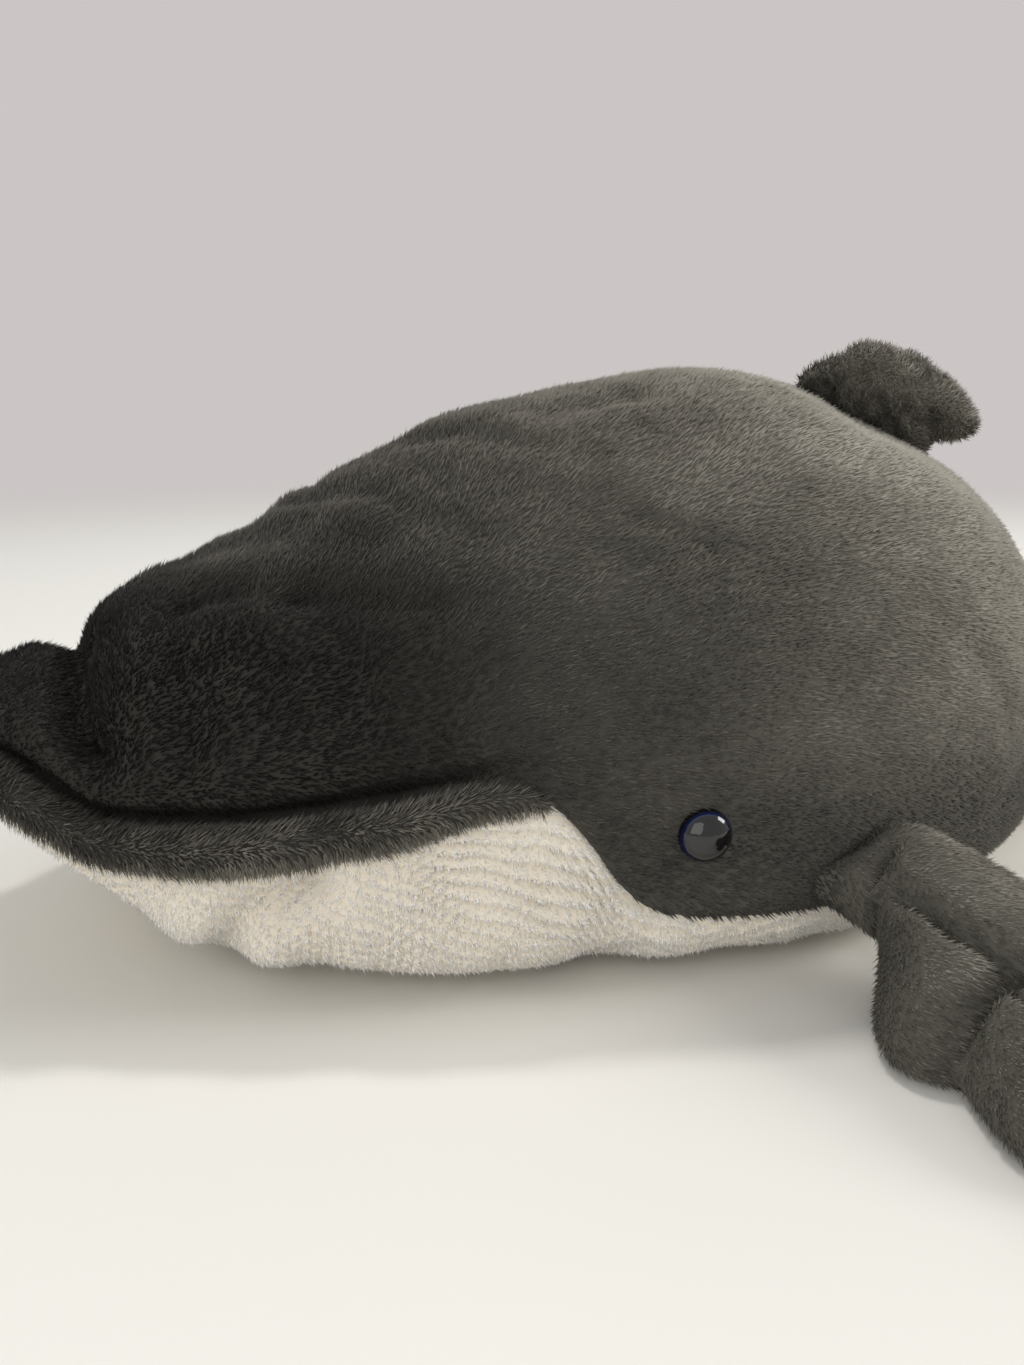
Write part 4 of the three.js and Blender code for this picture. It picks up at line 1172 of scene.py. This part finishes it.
fin = ball("fin_skin", 80, 80, fin_place, grey_backing)
fin_pile = grow("fin_pile", ball_cloth(fin), steady(*(FIN_OUT + 0.6 * FIN_ALONG)), density=2.6e6,
                length=2.6 * MM, width=0.55 * MM, lean=40, shades=GREY_SHADES, shade=6.4,
                seed=500, swirl=1.6, speckle=1.1, trim=fin_trim)

# %% Fluke
FLUKE_ROOT = np.array([0, 0.20844, 0.031395])
FLUKE_SPREAD, FLUKE_CHORD, FLUKE_THICK, FLUKE_SWEEP = 0.092, 0.033, 0.011, 0.048


def fluke_place(share, turn):
    """A lobe's skin."""
    place, width, thick, sweep = limb_sizes(FLUKE_SHARES, share)
    across, up = np.cos(turn), np.sin(turn)
    back = FLUKE_SWEEP * sweep + FLUKE_CHORD * width * across
    points = FLUKE_ROOT + np.stack([FLUKE_SPREAD * place, back, FLUKE_THICK * thick * up], -1)
    points[:, 2] += 0.8 * MM * waves(points, 0.03, 51)
    return points


flukes = {}
for side, sign in SIGNS.items():
    flip = np.array([sign, 1, 1])
    skin_piece = ball(f"fluke_skin_{side}", 56, 60, lambda s, t: fluke_place(s, t) * flip,
                      grey_backing)
    pile = grow(f"fluke_pile_{side}", ball_cloth(skin_piece), steady(0.7 * sign, 1, 0),
                density=1.3e6, length=2.8 * MM, width=0.68 * MM, lean=61, shades=GREY_SHADES,
                shade=7.0, seed=600 + sign)
    flukes[side] = [skin_piece, *pile]

# %% [markdown]
# ## What moves with what
# The body's skins and pile, the lip and the eyes hang from the torso. The pieces of tail, stump,
# flippers, fluke and fin keep where they stand, with their placing put into their meshes.

for (zone, side), piece in skins.items():
    for part in [piece, *piles[zone, side]]:
        if zone == "body":
            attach(part, "torso")
        elif zone == "tail":
            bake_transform(part)
        else:
            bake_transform(part)
for part in [lip, *lip_pile, *eyes.values()]:
    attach(part, "torso")
for side, sign in SIGNS.items():
    for part in flippers[side]:
        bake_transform(part)
    for part in flukes[side]:
        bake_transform(part)
for part in [fin, *fin_pile]:
    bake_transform(part)

# %% [markdown]
# ## Solids that the pieces replace
# The plain solids that the new pieces stand for are hidden, also those inside a cover. The washers
# of the eyes keep their own solids, which are exact, and only get a new finish.

# %% Pieces
for (zone, side), piece in skins.items():
    for part in [piece, *piles[zone, side]]:
        "cream_plush" if side == "belly" else "grey_plush"
for piece, *pile in ([lip, *lip_pile], *flippers.values(), [fin, *fin_pile], *flukes.values()):
    for part in (piece, *pile):
        "grey_plush_long" if piece in (lip, fin) else "grey_plush"
print("padded skins:", len(skins) + len(flippers) + len(flukes) + 2)

# %% What they stand for
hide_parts("back_cover_left", "head_filling")
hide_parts("back_cover_right", "body_filling")
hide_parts("belly_cover", "granule_bag")
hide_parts("tail_cover", "tail_filling")
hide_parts("lower_lip_roll")
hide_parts("dorsal_fin_cover", "dorsal_fin_filling")
for side in SIGNS:
    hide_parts(f"eye_{side}")
    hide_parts(f"flipper_{side}_cover", f"flipper_{side}_filling")
    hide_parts(f"fluke_{side}_cover", f"fluke_{side}_filling")
print("solids of the part:", len(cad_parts), "of which the washers stay")

# %% Washers
for side in SIGNS:
    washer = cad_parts[f"eye_washer_{side}"]
    washer_finish, shader, wire = finish(f"washer_{side}", roughness=0.5)
    shader.inputs["Base Color"].default_value = linear(225, 222, 214)
    place = wire.node("ShaderNodeTexCoord", output=3)
    grain = wire.node("ShaderNodeTexNoise", inputs={"Vector": place, "Scale": 500.0})
    link(shader, "Roughness", grain * 0.2 + 0.4)
    for slot in washer.material_slots:
        slot.material = washer_finish
    print(washer.name, "has", len(washer.material_slots), "finish")

# %% Triangles
drawn = [o for o in bpy.context.scene.objects if o.type == "MESH"]
print("triangles:", sum(len(o.data.loop_triangles) or len(o.data.polygons) for o in drawn))
